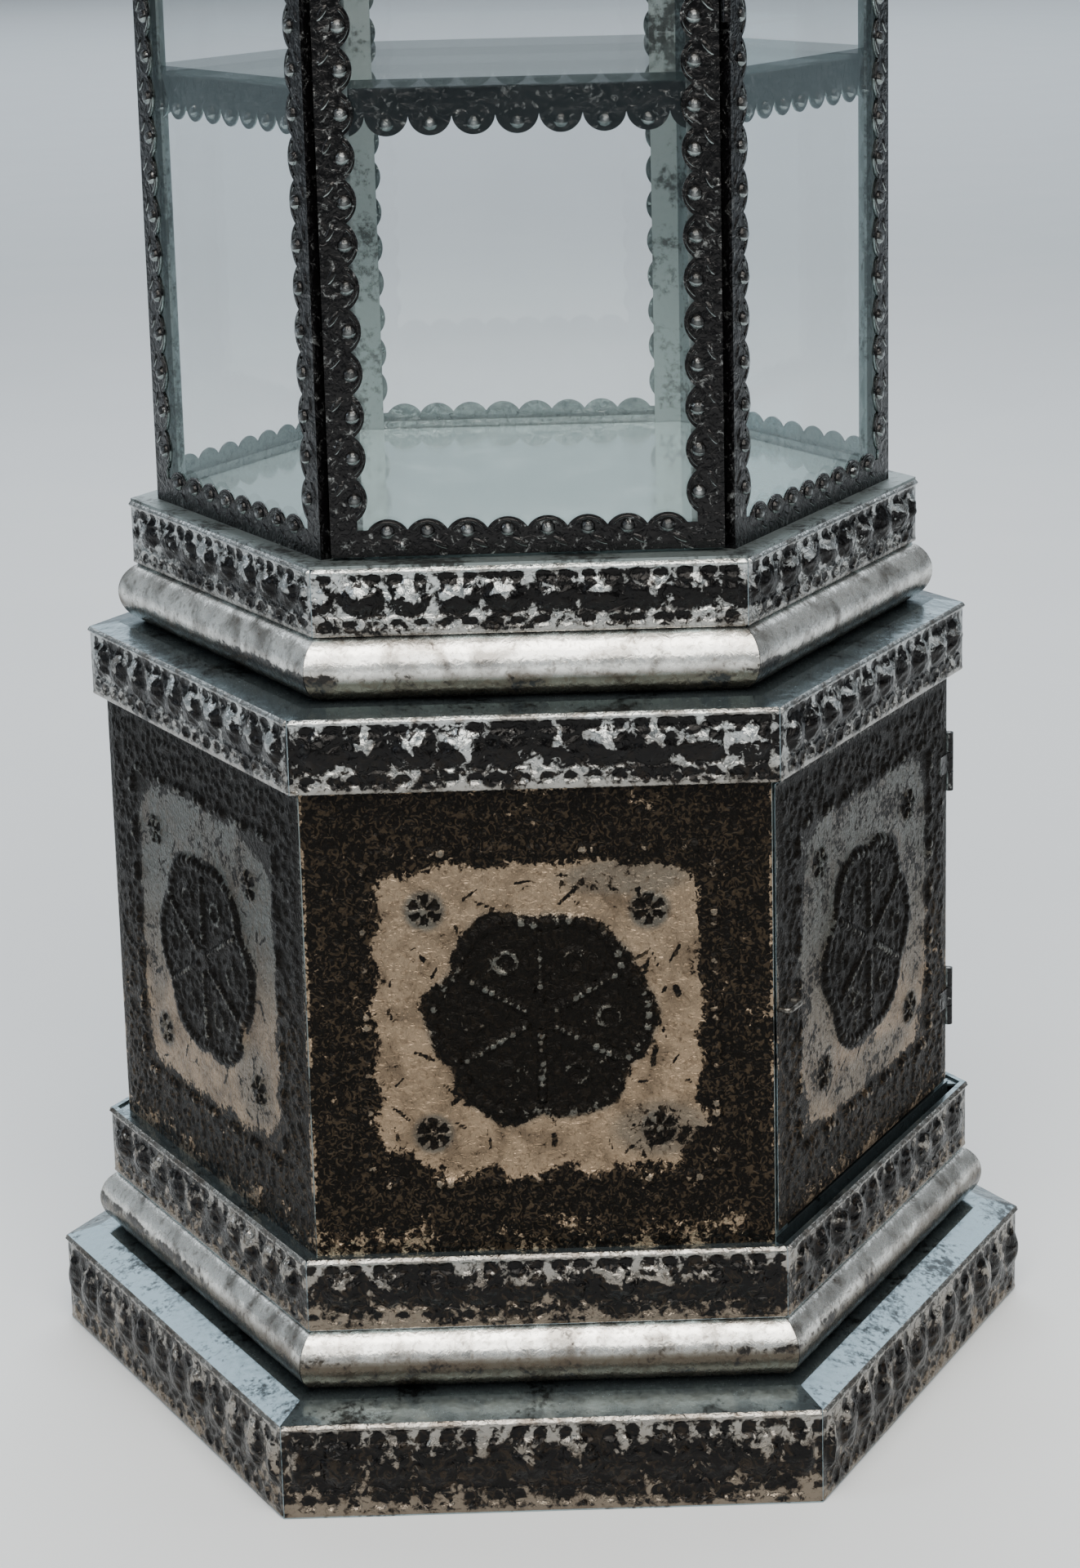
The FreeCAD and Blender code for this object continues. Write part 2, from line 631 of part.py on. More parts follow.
def pane_frame(label, foot, head, depth, turn):
    """A pane's frame: two stiles and two rails, each a folded channel with a scalloped face."""
    body = new_body(label, turn)
    setback = f"({size('frame_depth')} * {TAN30} + {size('corner_clearance')})"
    half = f"({LANTERN_RADIUS} / 2 - {setback})"
    x = number(half)
    low = number(foot)
    high = number(head)
    width = number(size("strip_width"))
    reach = number(size("scallop_reach"))
    plain = 0.9 * reach
    slit = 2.0 * number(size("seam"))
    leaves = []
    for side in (-1, 1):
        leaves += strip_leaf(
            Vector(side * x, low, 0), Vector(side * x, high, 0),
            Vector(side * (x - width), low + width, 0), Vector(side * (x - width), high - width, 0),
            Vector(-side, 0, 0), reach, plain,
        )
    for edge, sign in ((low, 1), (high, -1)):
        tip = x - width - slit
        leaves += strip_leaf(
            Vector(-x + slit, edge, 0), Vector(x - slit, edge, 0),
            Vector(-tip, edge + sign * width, 0), Vector(tip, edge + sign * width, 0),
            Vector(0, sign, 0), reach, plain,
        )
    back = f"({A_LANTERN} - {depth})"
    web = new_sketch(body, f"{label}Webs", "XZ_Plane", back)
    leaf = new_sketch(body, f"{label}Leaves", "XZ_Plane", f"{A_LANTERN} - {TIN}")
    inner = new_sketch(body, f"{label}Backs", "XZ_Plane", back)
    gap = f"2 * {size('seam')}"
    lip = size("strip_back")
    for side in ("-", ""):
        rectangle(web, f"{side}{half}", foot, f"{side}({half} - {TIN})", head)
        rectangle(inner, f"{side}{half}", foot, f"{side}({half} - {lip})", head)
    inside = f"({half} - {TIN} - {gap})"
    rectangle(web, f"-{inside}", foot, inside, f"{foot} + {TIN}")
    rectangle(web, f"-{inside}", f"{head} - {TIN}", inside, head)
    inside = f"({half} - {lip} - {gap})"
    rectangle(inner, f"-{inside}", foot, inside, f"{foot} + {lip}")
    rectangle(inner, f"-{inside}", f"{head} - {lip}", inside, head)
    free_outline(leaf, leaves)
    pad(body, web, depth)
    pad(body, inner, TIN)
    pad(body, leaf, TIN)
    return body


def pane(label, foot, head, turn):
    """A sheet of glass standing in its frame's channel."""
    body = new_body(label, turn)
    setback = f"({size('frame_depth')} * {TAN30} + {size('corner_clearance')})"
    half = f"({LANTERN_RADIUS} / 2 - {setback} - {TIN} - {size('pane_slack')})"
    sketch = new_sketch(body, f"{label}Outline", "XZ_Plane", f"{A_LANTERN} - {TIN} - {size('glass')}")
    rectangle(sketch, f"-{half}", f"{foot} + {TIN}", half, f"{head} - {TIN} - {size('pane_slack')}")
    pad(body, sketch, size("glass"))
    return body


LANTERN_FACES = [
    ("front_right", 60.0),
    ("back_right", 120.0),
    ("back", 180.0),
    ("back_left", 240.0),
    ("front_left", 300.0),
]
for face, turn in LANTERN_FACES:
    pane_frame(f"frame_{face}", LANTERN_Z, LANTERN_TOP, size("frame_depth"), turn)
    pane(f"glass_{face}", LANTERN_Z, LANTERN_TOP, turn)
GLAZED_FOOT = f"({LANTERN_Z} + {size('door_clearance')})"
GLAZED_HEAD = f"({LANTERN_TOP} - {size('door_clearance')})"
pane_frame("lantern_door_frame", GLAZED_FOOT, GLAZED_HEAD, size("door_depth"), 0.0)
pane("lantern_door_glass", GLAZED_FOOT, GLAZED_HEAD, 0.0)

LANTERN_HALF = f"({LANTERN_RADIUS} / 2)"
GLAZED_MIDDLE = f"(({GLAZED_FOOT} + {GLAZED_HEAD}) / 2)"
wire_pull("lantern_door_pull", A_LANTERN, LANTERN_HALF, GLAZED_MIDDLE, 0.0)
GLAZED_HINGE = f"({LANTERN_Z} + {size('bay_height')} + {size('shelf_to_hinge')})"
# The two hinges stand just above the two shelves, where the posts are stiffest.
hinge_set("lantern", LANTERN_RADIUS, GLAZED_HINGE, size("bay_height"), 0.0)


def shelf(prefix, level):
    """A glass shelf on a valance of six scalloped strips with an inward ledge."""
    hexagon_plate(
        f"{prefix}_shelf", f"({A_INSIDE} - {size('shelf_clearance')})", level, size("shelf_glass"),
    )
    body = new_body(f"{prefix}_valance")
    reach = number(size("valance_reach"))
    face = number(A_INSIDE)
    half = face * TAN30 - number(size("seam")) - 1.0
    high = number(level)
    low = high - number(size("valance_height"))
    front = new_sketch(body, f"{prefix}ValanceFace", "XZ_Plane", f"{A_INSIDE} - {TIN}")
    edges = [
        Part.LineSegment(Vector(half, low, 0), Vector(half, high, 0)),
        Part.LineSegment(Vector(half, high, 0), Vector(-half, high, 0)),
        Part.LineSegment(Vector(-half, high, 0), Vector(-half, low, 0)),
    ]
    edges += scallops(Vector(-half, low, 0), Vector(half, low, 0), reach, Vector(0, -1, 0))
    free_outline(front, edges)
    pad(body, front, TIN)
    ledge = new_sketch(body, f"{prefix}ValanceLedge", "XY_Plane", f"{level} - {TIN}")
    inner = f"({A_INSIDE} - {size('valance_lip')})"
    outer = f"({A_INSIDE} - {TIN} / 2)"
    polygon(ledge, [
        (f"-({outer} * {TAN30} - 1.4)", f"-{outer}"),
        (f"{outer} * {TAN30} - 1.4", f"-{outer}"),
        (f"{inner} * {TAN30} - 1.4", f"-{inner}"),
        (f"-({inner} * {TAN30} - 1.4)", f"-{inner}"),
    ])
    pad(body, ledge, TIN)
    ring(body)


shelf("lower", f"({LANTERN_Z} + {size('bay_height')})")
shelf("upper", f"({LANTERN_Z} + 2 * {size('bay_height')})")

# The crown: the cornice's mouldings again, spreading outwards under a pitched roof.
hexagon_plate("ceiling_plate", A_UPPER, LANTERN_TOP, SHEET)
strip_ring(
    "crown_lower_band",
    [
        (A_UPPER, CROWN_Z),
        (A_UPPER, CROWN_TOP),
        (f"{A_UPPER} - {SHEET}", CROWN_TOP),
        (f"{A_UPPER} - {SHEET}", CROWN_Z),
    ],
    f"({A_UPPER} - {SHEET})", A_UPPER,
)
hexagon_plate("crown_plate", A_UPPER, CROWN_TOP, SHEET)
bead_ring("crown_torus", A_BEAD_UP, CROWN_BEAD)
hexagon_plate("eaves_plate", f"({A_CORNICE} - {SHEET})", EAVES_Z, SHEET)
strip_ring(
    "crown_upper_band",
    [
        (A_CORNICE, EAVES_Z),
        (A_CORNICE, EAVES_TOP),
        (f"{A_CORNICE} - {SHEET}", EAVES_TOP),
        (f"{A_CORNICE} - {SHEET}", EAVES_Z),
    ],
    f"({A_CORNICE} - {SHEET})", A_CORNICE,
)
strip_ring(
    "roof_panels",
    [
        (A_CORNICE, EAVES_TOP),
        (A_CORNICE, f"{EAVES_TOP} + {SHEET}"),
        (size("roof_top"), f"{ROOF_TOP} + {SHEET}"),
        (size("roof_top"), ROOF_TOP),
    ],
    size("roof_top"), A_CORNICE,
)
ridges = new_body("roof_ridges")
ridge_side = new_sketch(ridges, "RidgeSide", "XZ_Plane")
RIDGE_LIFT = f"({SHEET} + 0.02)"
ROOF_PITCH = f"({size('roof_rise')} / ({A_CORNICE} - {size('roof_top')}))"
RIDGE_END = f"(({size('roof_top')} + {size('ridge_run')}) / {COS30})"
RIDGE_FOOT_Z = f"({EAVES_TOP} + {RIDGE_LIFT})"
RIDGE_END_Z = f"({ROOF_TOP} + {RIDGE_LIFT} - {size('ridge_run')} * {ROOF_PITCH})"
polygon(ridge_side, [
    (f"{A_CORNICE} / {COS30}", RIDGE_FOOT_Z),
    (f"{A_CORNICE} / {COS30}", f"{RIDGE_FOOT_Z} + {size('ridge_height')}"),
    (RIDGE_END, f"{RIDGE_END_Z} + {size('ridge_height')}"),
    (RIDGE_END, RIDGE_END_Z),
])
pad(ridges, ridge_side, size("ridge_width"), both_ways=True)
ring(ridges)
CAP_Z = f"({ROOF_TOP} + {SHEET})"
hexagon_plate("roof_cap", f"({size('cap_radius')} * {COS30})", CAP_Z, size("cap_height"))
finial = new_body("finial")
profile = new_sketch(finial, "FinialProfile", "XZ_Plane")
FINIAL_Z = f"({CAP_Z} + {size('cap_height')})"
ball = number(size("finial_ball"))
stem = number(size("finial_stem"))
base = number(FINIAL_Z)
collar = number(size("collar_radius"))
neck = number(size("neck_radius"))
lip = base + number(size("collar_height"))
shoulder = lip + number(size("collar_slope"))
meet = base + stem + ball - math.sqrt(ball ** 2 - neck ** 2)
free_outline(profile, [
    Part.LineSegment(Vector(0, base, 0), Vector(collar, base, 0)),
    Part.LineSegment(Vector(collar, base, 0), Vector(collar, lip, 0)),
    Part.LineSegment(Vector(collar, lip, 0), Vector(neck, shoulder, 0)),
    Part.LineSegment(Vector(neck, shoulder, 0), Vector(neck, meet, 0)),
    Part.Arc(
        Vector(neck, meet, 0), Vector(ball, base + stem + ball, 0),
        Vector(0, base + stem + 2 * ball, 0),
    ),
    Part.LineSegment(Vector(0, base + stem + 2 * ball, 0), Vector(0, base, 0)),
])
turned = finial.newObject("PartDesign::Revolution", "FinialTurned")
turned.Profile = profile
turned.ReferenceAxis = (profile, ["V_Axis"])
turned.Angle = 360
finial.Tip = turned

doc.recompute()

problems = []
for item in doc.Objects:
    if "Invalid" in item.State or "Error" in item.State:
        problems.append(f"{item.Label}: {item.State}")
for node in NODES:
    if node.Shape.isNull() or not node.Shape.isValid() or not node.Shape.Solids:
        problems.append(f"{node.Label}: no valid solid")
if problems:
    raise RuntimeError("; ".join(problems))

os.makedirs("parts", exist_ok=True)
for node in NODES:
    node.Shape.exportStep(f"parts/{node.Label}.step")
print(f"{len(NODES)} nodes written")
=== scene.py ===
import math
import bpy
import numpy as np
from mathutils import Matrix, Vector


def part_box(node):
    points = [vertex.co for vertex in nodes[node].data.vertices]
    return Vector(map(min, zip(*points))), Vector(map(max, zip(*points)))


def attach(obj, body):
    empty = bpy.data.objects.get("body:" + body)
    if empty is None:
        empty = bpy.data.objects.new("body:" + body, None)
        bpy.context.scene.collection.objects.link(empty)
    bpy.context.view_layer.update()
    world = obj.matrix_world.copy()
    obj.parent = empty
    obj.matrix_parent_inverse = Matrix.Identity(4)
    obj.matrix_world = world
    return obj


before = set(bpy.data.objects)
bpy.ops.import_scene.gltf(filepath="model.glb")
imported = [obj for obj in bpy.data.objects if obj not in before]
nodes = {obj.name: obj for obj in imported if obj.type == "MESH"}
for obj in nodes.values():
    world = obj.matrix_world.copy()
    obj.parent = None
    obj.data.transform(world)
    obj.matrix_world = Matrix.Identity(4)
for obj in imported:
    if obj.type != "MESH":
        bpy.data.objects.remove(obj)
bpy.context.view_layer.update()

# %% [markdown]
# # A tinplate and glass display cabinet
# The folded solids are already in the scene: plates, mouldings, panes, hinges.
# What they lack is the work of the embossing die and the patina of age.
# This lesson adds both: pressed skins over the plain sheets, domes on the
# scalloped strips, and finishes for blackened tin, bright tin, glass and mirror.

MM = 0.001
SIDE = math.tan(math.radians(30))  # half a side of a hexagon, for an apothem of 1
ALL_TURNS = (0, 60, 120, 180, 240, 300)
dice = np.random.default_rng(1887)
bpy.ops.object.select_all(action="DESELECT")
print("solids loaded:", len(nodes))

# %% [markdown]
# ## Camera
# The photograph looks slightly down at the front face from about a metre away,
# with a long lens. A camera could be turned by eye until the picture fits. Here
# its place and angles were solved from the corners of the hexagonal mouldings,
# which is surer. The small shift is the photograph's own crop.

# %% Camera
EYE = Vector((-8.13, -940.4, 454.1)) * MM
YAW, PITCH, ROLL = (math.radians(a) for a in (0.77, -12.33, -1.41))
PHOTO_HEIGHT = 1920
LENS_PIXELS = 3858.4
LENS_ROW = 672
SENSOR = 36.0
ahead = Vector((math.sin(YAW) * math.cos(PITCH), math.cos(YAW) * math.cos(PITCH), math.sin(PITCH)))
level = Vector((math.cos(YAW), -math.sin(YAW), 0))
upright = level.cross(ahead)
right = math.cos(ROLL) * level + math.sin(ROLL) * upright
up = -math.sin(ROLL) * level + math.cos(ROLL) * upright
bpy.ops.object.camera_add()
camera = bpy.context.object
camera.matrix_world = Matrix.Translation(EYE) @ Matrix((right, up, -ahead)).transposed().to_4x4()
camera.data.sensor_width = SENSOR
camera.data.lens = LENS_PIXELS / PHOTO_HEIGHT * SENSOR
camera.data.shift_y = (LENS_ROW - PHOTO_HEIGHT / 2) / PHOTO_HEIGHT
camera.data.clip_start = 0.01
bpy.context.scene.camera = camera
print("lens in millimetres:", round(camera.data.lens, 1))

# %% [markdown]
# ## Floor and light
# A pale floor and large soft lamps, like a light tent. Bright metal shows what
# is round it, so each lamp is also a shape to be seen in the mouldings. A few
# strong small lamps would be simpler, but they would leave hard dots on the
# tin. So two wide panels light the front and narrow ones the two sides. One more
# stands behind the cabinet, and a far one lights the floor up to the horizon.

# %% Floor and lamps
bpy.ops.mesh.primitive_plane_add(size=60)
floor = bpy.context.object
floor.name = "floor"


def linear(code):
    """An sRGB hex colour as linear values."""
    parts = [int(code[i:i + 2], 16) / 255 for i in (1, 3, 5)]
    return tuple(p / 12.92 if p <= 0.04045 else ((p + 0.055) / 1.055) ** 2.4 for p in parts) + (1,)


def lamp(name, place, aim, width, height, watts, colour):
    """A soft rectangular lamp at a place, aimed at a point, in metres."""
    bpy.ops.object.light_add(type="AREA", location=place)
    light = bpy.context.object
    light.name = name
    light.data.shape = "RECTANGLE"
    light.data.size = width
    light.data.size_y = height
    light.data.energy = watts
    light.data.color = linear(colour)[:3]
    light.rotation_euler = (Vector(aim) - Vector(place)).to_track_quat("-Z", "Y").to_euler()


lamp("lamp_over_front", (0.05, -0.85, 1.75), (0, 0, 0.25), 1.6, 1.0, 46, "#FFF9F0")
lamp("lamp_front_wall", (0.2, -2.4, 1.65), (0, 0, 0.4), 3.0, 1.2, 58, "#FFFBF4")
lamp("lamp_left", (-1.35, -0.5, 0.95), (0, 0, 0.3), 0.35, 1.3, 6, "#E6F1FF")
lamp("lamp_right", (1.3, -0.2, 0.95), (0, 0, 0.3), 0.35, 1.1, 2.5, "#EEF3FA")
lamp("lamp_behind", (0.1, 1.5, 1.6), (0, 0, 0.4), 1.4, 0.7, 16, "#F2F5FA")
lamp("lamp_far_floor", (0, 6.0, 4.0), (0, 6.0, 0), 9.0, 8.0, 450, "#E6EFF7")

# %% [markdown]
# ### The tent's cloth
# An even world would light every side alike and make the tin look flat. The
# cloth is brightest at the horizon, fades overhead and is darker on the right.
# It is made with the small function that also builds every finish: it adds one
# node, sets it up, links it, and hands back the output that goes on.

# %% The tent's cloth
NOISE, SPREAD = "ShaderNodeTexNoise", "ShaderNodeMapRange"
MATHS, MIX = "ShaderNodeMath", "ShaderNodeMix"
FIRST, SECOND, MIXED = 6, 7, 2  # the colour sockets of a Mix node


def add(tree, kind, links=None, give=0, **settings):
    """Adds a node with its settings, fixed inputs and links, and gives one of its outputs."""
    item = tree.nodes.new(kind)
    for name, value in settings.items():
        setattr(item, name, value)
    for name, value in (links or {}).items():
        if hasattr(value, "is_output"):
            tree.links.new(value, item.inputs[name])
        else:
            item.inputs[name].default_value = value
    return item.outputs[give]


world = bpy.data.worlds.new("tent")
bpy.context.scene.world = world
world.use_nodes = True
cloth = world.node_tree
sky = add(cloth, "ShaderNodeTexCoord", give="Generated")
rise = add(cloth, "ShaderNodeSeparateXYZ", {"Vector": sky}, "Z")
aside = add(cloth, "ShaderNodeSeparateXYZ", {"Vector": sky}, "X")
fade = add(cloth, SPREAD, {"Value": rise, "From Max": 0.7, "To Min": 0.62, "To Max": 0.2})
shade = add(cloth, SPREAD, {"Value": aside, "From Min": 0.25, "From Max": 0.9,
                            "To Min": 1.0, "To Max": 0.45})
glow = add(cloth, MATHS, {0: fade, 1: shade}, operation="MULTIPLY")
cloth.links.new(glow, cloth.nodes["Background"].inputs["Strength"])
cloth.nodes["Background"].inputs["Color"].default_value = linear("#D2DEE6")
print("nodes in the tent's cloth:", len(cloth.nodes))

# %% [markdown]
# ## Finishes
# Each finish starts from the real stuff. Tinplate is thin steel dipped in tin: a soft grey mirror when
# new. This cabinet was blackened and rubbed back, so the hollows keep a brown-black film and the high
# places are bare. Noise alone would put the film anywhere. So a mesh attribute named patina, from 0
# for bare to 1 for black, carries it from the die's shape, and one named warmth tells bare tin that
# has gone tan from tin that is still grey. In places the two also carry painted light: the highlight
# and shade on the bands' bosses and the half-round beads, the shade on the drum's door, and the
# reflection that makes the drum's panels greyer above. Noise, sized in millimetres, only breaks both
# up.

# %% Finishes: a start
def finish(name):
    """A new material: itself, its tree, its surface shader and its place in metres."""
    material = bpy.data.materials.new(name)
    material.use_nodes = True
    tree = material.node_tree
    place = add(tree, "ShaderNodeTexCoord", give="Object")
    return material, tree, tree.nodes["Principled BSDF"].inputs, place


def blotches(size):
    """The noise scale whose blotches are about size millimetres across."""
    return 1000 / (2 * size)


print("a scale for blotches of 1 mm:", blotches(1))

# %% [markdown]
# ### Embossed tinplate, blackened and rubbed back
# The film is semi-matt and brown where it is thin. Bare tin is metallic with
# a satin gloss, stained in clouds and flecks. Two materials in a mix would do,
# but film and metal share their noise, so one shader moves between the two.
# Fine bumps of about a millimetre are the die's matting punch.

# %% Finish: embossed tinplate
FILM_EDGE = 0.53  # the patina where bare tin turns to film
PUNCH_DEPTH = 0.0008


def embossed_tin(name, grey, tan, film, rubbed, blotch, ragged, worm, grain, gloss,
                 film_metal, sheen, soft):
    """Tin between bare and black. blotch and worm are sizes in millimetres."""
    material, tree, surface, place = finish(name)
    patina = add(tree, "ShaderNodeAttribute", give="Fac", attribute_name="patina")
    warmth = add(tree, "ShaderNodeAttribute", give="Fac", attribute_name="warmth")
    speck = add(tree, NOISE, {"Vector": place, "Scale": blotches(blotch), "Detail": 4.0,
                              "Roughness": 0.62, "Distortion": 0.6})
    cloud = add(tree, NOISE, {"Vector": place, "Scale": blotches(5), "Detail": 4.0,
                              "Distortion": 0.5})
    worms = add(tree, NOISE, {"Vector": place, "Scale": blotches(worm), "Detail": 3.0,
                              "Distortion": 1.6})
    near = add(tree, SPREAD, {"Value": speck, "To Min": -ragged / 2, "To Max": ragged / 2})
    far = add(tree, SPREAD, {"Value": cloud, "To Min": -0.7, "To Max": 0.7})
    broken = add(tree, MATHS, {0: patina, 1: near}, operation="ADD")
    broken = add(tree, MATHS, {0: broken, 1: far}, operation="ADD")
    dark = add(tree, SPREAD, {"Value": broken, "From Min": FILM_EDGE - soft,
                              "From Max": FILM_EDGE + soft})
    bare = add(tree, MIX, {"Factor": warmth, FIRST: linear(grey), SECOND: linear(tan)},
               MIXED, data_type="RGBA")
    smudge = add(tree, SPREAD, {"Value": cloud, "From Min": 0.44, "From Max": 0.66, "To Max": 0.7})
    bare = add(tree, MIX, {"Factor": smudge, FIRST: bare, SECOND: linear("#4B4035")},
               MIXED, data_type="RGBA")
    fleck = add(tree, SPREAD, {"Value": speck, "From Min": 0.52, "From Max": 0.68, "To Max": 0.6})
    bare = add(tree, MIX, {"Factor": fleck, FIRST: bare, SECOND: linear("#4A3D30")},
               MIXED, data_type="RGBA")
    scuff = add(tree, SPREAD, {"Value": worms, "From Min": 0.51, "From Max": 0.62, "To Max": 0.7})
    scuff = add(tree, MATHS, {0: scuff, 1: warmth}, operation="MULTIPLY")
    black = add(tree, MIX, {"Factor": scuff, FIRST: linear(film), SECOND: linear(rubbed)},
                MIXED, data_type="RGBA")
    colour = add(tree, MIX, {"Factor": dark, FIRST: bare, SECOND: black},
                 MIXED, data_type="RGBA")
    tree.links.new(colour, surface["Base Color"])
    surface["Specular IOR Level"].default_value = sheen
    metal = add(tree, SPREAD, {"Value": dark, "To Min": 0.9, "To Max": film_metal})
    tree.links.new(metal, surface["Metallic"])
    satin = add(tree, SPREAD, {"Value": speck, "From Min": 0.3, "From Max": 0.7,
                               "To Min": gloss - 0.06, "To Max": gloss + 0.12})
    tree.links.new(satin, surface["Roughness"])
    relief = add(tree, "ShaderNodeBump", {"Height": worms, "Strength": grain,
                                          "Distance": PUNCH_DEPTH}, "Normal")
    tree.links.new(relief, surface["Normal"])
    print("finish:", name)
    return material


# %% Finish: three kinds of embossed tinplate
PANEL_TIN = embossed_tin(
    "embossed tinplate, brown film", grey="#4B4D4A", tan="#8F7B65", film="#090705",
    rubbed="#3D3327", blotch=0.8, ragged=1.7, worm=1.0, grain=0.9, gloss=0.30,
    film_metal=0.08, sheen=0.07, soft=0.07)
BAND_TIN = embossed_tin(
    "embossed tinplate, black film", grey="#B0B4B4", tan="#776D61", film="#060505",
    rubbed="#2A2219", blotch=1.1, ragged=1.3, worm=1.5, grain=0.7, gloss=0.15,
    film_metal=0.4, sheen=0.25, soft=0.08)
# Painted highlight and shade on the half-round beads: grey is their bright top, tan their shaded lower
# half.
ROLLED_TIN = embossed_tin(
    "rolled tinplate, painted highlight and shade", grey="#ECECE8", tan="#565148", film="#14110F",
    rubbed="#4A4238", blotch=0.9, ragged=0.9, worm=1.4, grain=0.2, gloss=0.24,
    film_metal=0.5, sheen=0.5, soft=0.08)

# %% [markdown]
# ### Bright tin, satin
# The half-round mouldings and the folded ledges were rubbed right back, so they
# are nearly mirrors, with specks of old film. A plain metal of one roughness
# would look like chrome. Here the same specks that stain the tin also dull it,
# and shallow dents of about 3 mm make its reflections wander.

# %% Finish: bright tin
def bright_tin(name, colour, gloss, film):
    """Bare tin of one colour and gloss, with a share of film left on it."""
    material, tree, surface, place = finish(name)
    speck = add(tree, NOISE, {"Vector": place, "Scale": blotches(1.1), "Detail": 5.0,
                              "Roughness": 0.7})
    cloud = add(tree, NOISE, {"Vector": place, "Scale": blotches(9), "Detail": 3.0})
    both = add(tree, MATHS, {0: speck, 1: cloud}, operation="ADD")
    stain = add(tree, SPREAD, {"Value": both, "From Min": 1.13 - film, "From Max": 1.3 - film,
                               "To Max": 0.85})
    stained = add(tree, MIX, {"Factor": stain, FIRST: linear(colour), SECOND: linear("#1B1714")},
                  MIXED, data_type="RGBA")
    tree.links.new(stained, surface["Base Color"])
    surface["Metallic"].default_value = 0.95
    satin = add(tree, SPREAD, {"Value": speck, "From Min": 0.25, "From Max": 0.75,
                               "To Min": gloss - 0.08, "To Max": gloss + 0.14})
    tree.links.new(satin, surface["Roughness"])
    dents = add(tree, NOISE, {"Vector": place, "Scale": blotches(3), "Detail": 3.0})
    relief = add(tree, "ShaderNodeBump", {"Height": dents, "Strength": 0.25,
                                          "Distance": PUNCH_DEPTH}, "Normal")
    tree.links.new(relief, surface["Normal"])
    print("finish:", name)
    return material


MOULDING_TIN = bright_tin("bright tinplate, rubbed", "#C9C8C4", gloss=0.27, film=0.06)
FOLD_TIN = bright_tin("bright tinplate, folds", "#8F9FA5", gloss=0.18, film=0.07)
INNER_TIN = bright_tin("plain tinplate, inside", "#7F8888", gloss=0.46, film=0.12)
WIRE = bright_tin("tinned iron wire", "#8F8C86", gloss=0.35, film=0.04)

# %% [markdown]
# ### Blackened strip
# The scalloped strips that hold the panes kept almost all their film. Only the crowns of the domes and
# a few rubbed places shine, and the side that looks into the cabinet was never blackened. The solid
# could be cut in two for that. It is simpler to compare a face's direction with its place: where the
# two point opposite ways, the face looks at the cabinet's axis and is inside. The bare crowns of the
# domes are worn, and partly a painted highlight.

# %% Finish: blackened strip
def black_strip(name, film, worn, share, plain):
    """Black outside and plain tin inside, with a share of the outside worn bare."""
    material, tree, surface, place = finish(name)
    facing = add(tree, "ShaderNodeTexCoord", give="Normal")
    outward = add(tree, "ShaderNodeVectorMath", {0: place, 1: facing}, "Value",
                  operation="DOT_PRODUCT")
    inside = add(tree, SPREAD, {"Value": outward, "From Min": -0.03, "From Max": -0.05})
    speck = add(tree, NOISE, {"Vector": place, "Scale": blotches(1.2), "Detail": 5.0,
                              "Roughness": 0.7, "Distortion": 0.6})
    bare = add(tree, SPREAD, {"Value": speck, "From Min": 0.64 - share, "From Max": 0.78 - share})
    # rubbed marks the domes' bare crowns, partly wear and partly a painted highlight.
    rubbed = add(tree, "ShaderNodeAttribute", give="Fac", attribute_name="rubbed")
    bare = add(tree, MATHS, {0: bare, 1: rubbed}, operation="MAXIMUM")
    outer = add(tree, MIX, {"Factor": bare, FIRST: linear(film), SECOND: linear(worn)},
                MIXED, data_type="RGBA")
    grime = add(tree, SPREAD, {"Value": speck, "From Min": 0.35, "From Max": 0.7})
    inner = add(tree, MIX, {"Factor": grime, FIRST: linear(plain), SECOND: linear("#4C5353")},
                MIXED, data_type="RGBA")
    colour = add(tree, MIX, {"Factor": inside, FIRST: outer, SECOND: inner},
                 MIXED, data_type="RGBA")
    tree.links.new(colour, surface["Base Color"])
    metal = add(tree, SPREAD, {"Value": bare, "To Min": 0.6, "To Max": 0.95})
    tree.links.new(metal, surface["Metallic"])
    satin = add(tree, SPREAD, {"Value": bare, "To Min": 0.17, "To Max": 0.22})
    tree.links.new(satin, surface["Roughness"])
    grain = add(tree, NOISE, {"Vector": place, "Scale": blotches(1.3), "Detail": 3.0,
                              "Distortion": 1.0})
    relief = add(tree, "ShaderNodeBump", {"Height": grain, "Strength": 0.6, "Distance": 0.0009},
                 "Normal")
    tree.links.new(relief, surface["Normal"])
    print("finish:", name)
    return material


STRIP_TIN = black_strip("blackened tin strip", "#0B0A0B", "#868887", 0.06, "#8C9595")
# The domes' bare crowns are partly wear and partly a painted highlight.
DOME_TIN = black_strip("blackened tin, rubbed domes with painted highlight", "#111010", "#A2A7A8", 0.04, "#8C9595")

# %% [markdown]
# ### Glass and mirror
# A thin pane lets light straight through and mirrors a few hundredths of it, more
# at a slant. Refracting glass would be darker and noisier for no gain, since a
# thin flat pane hardly bends what is behind it. So the pane is a clear mirror
# whose opacity is that share. Only the cut edges, whose faces stand upright on
# a shelf, show the green of the glass.

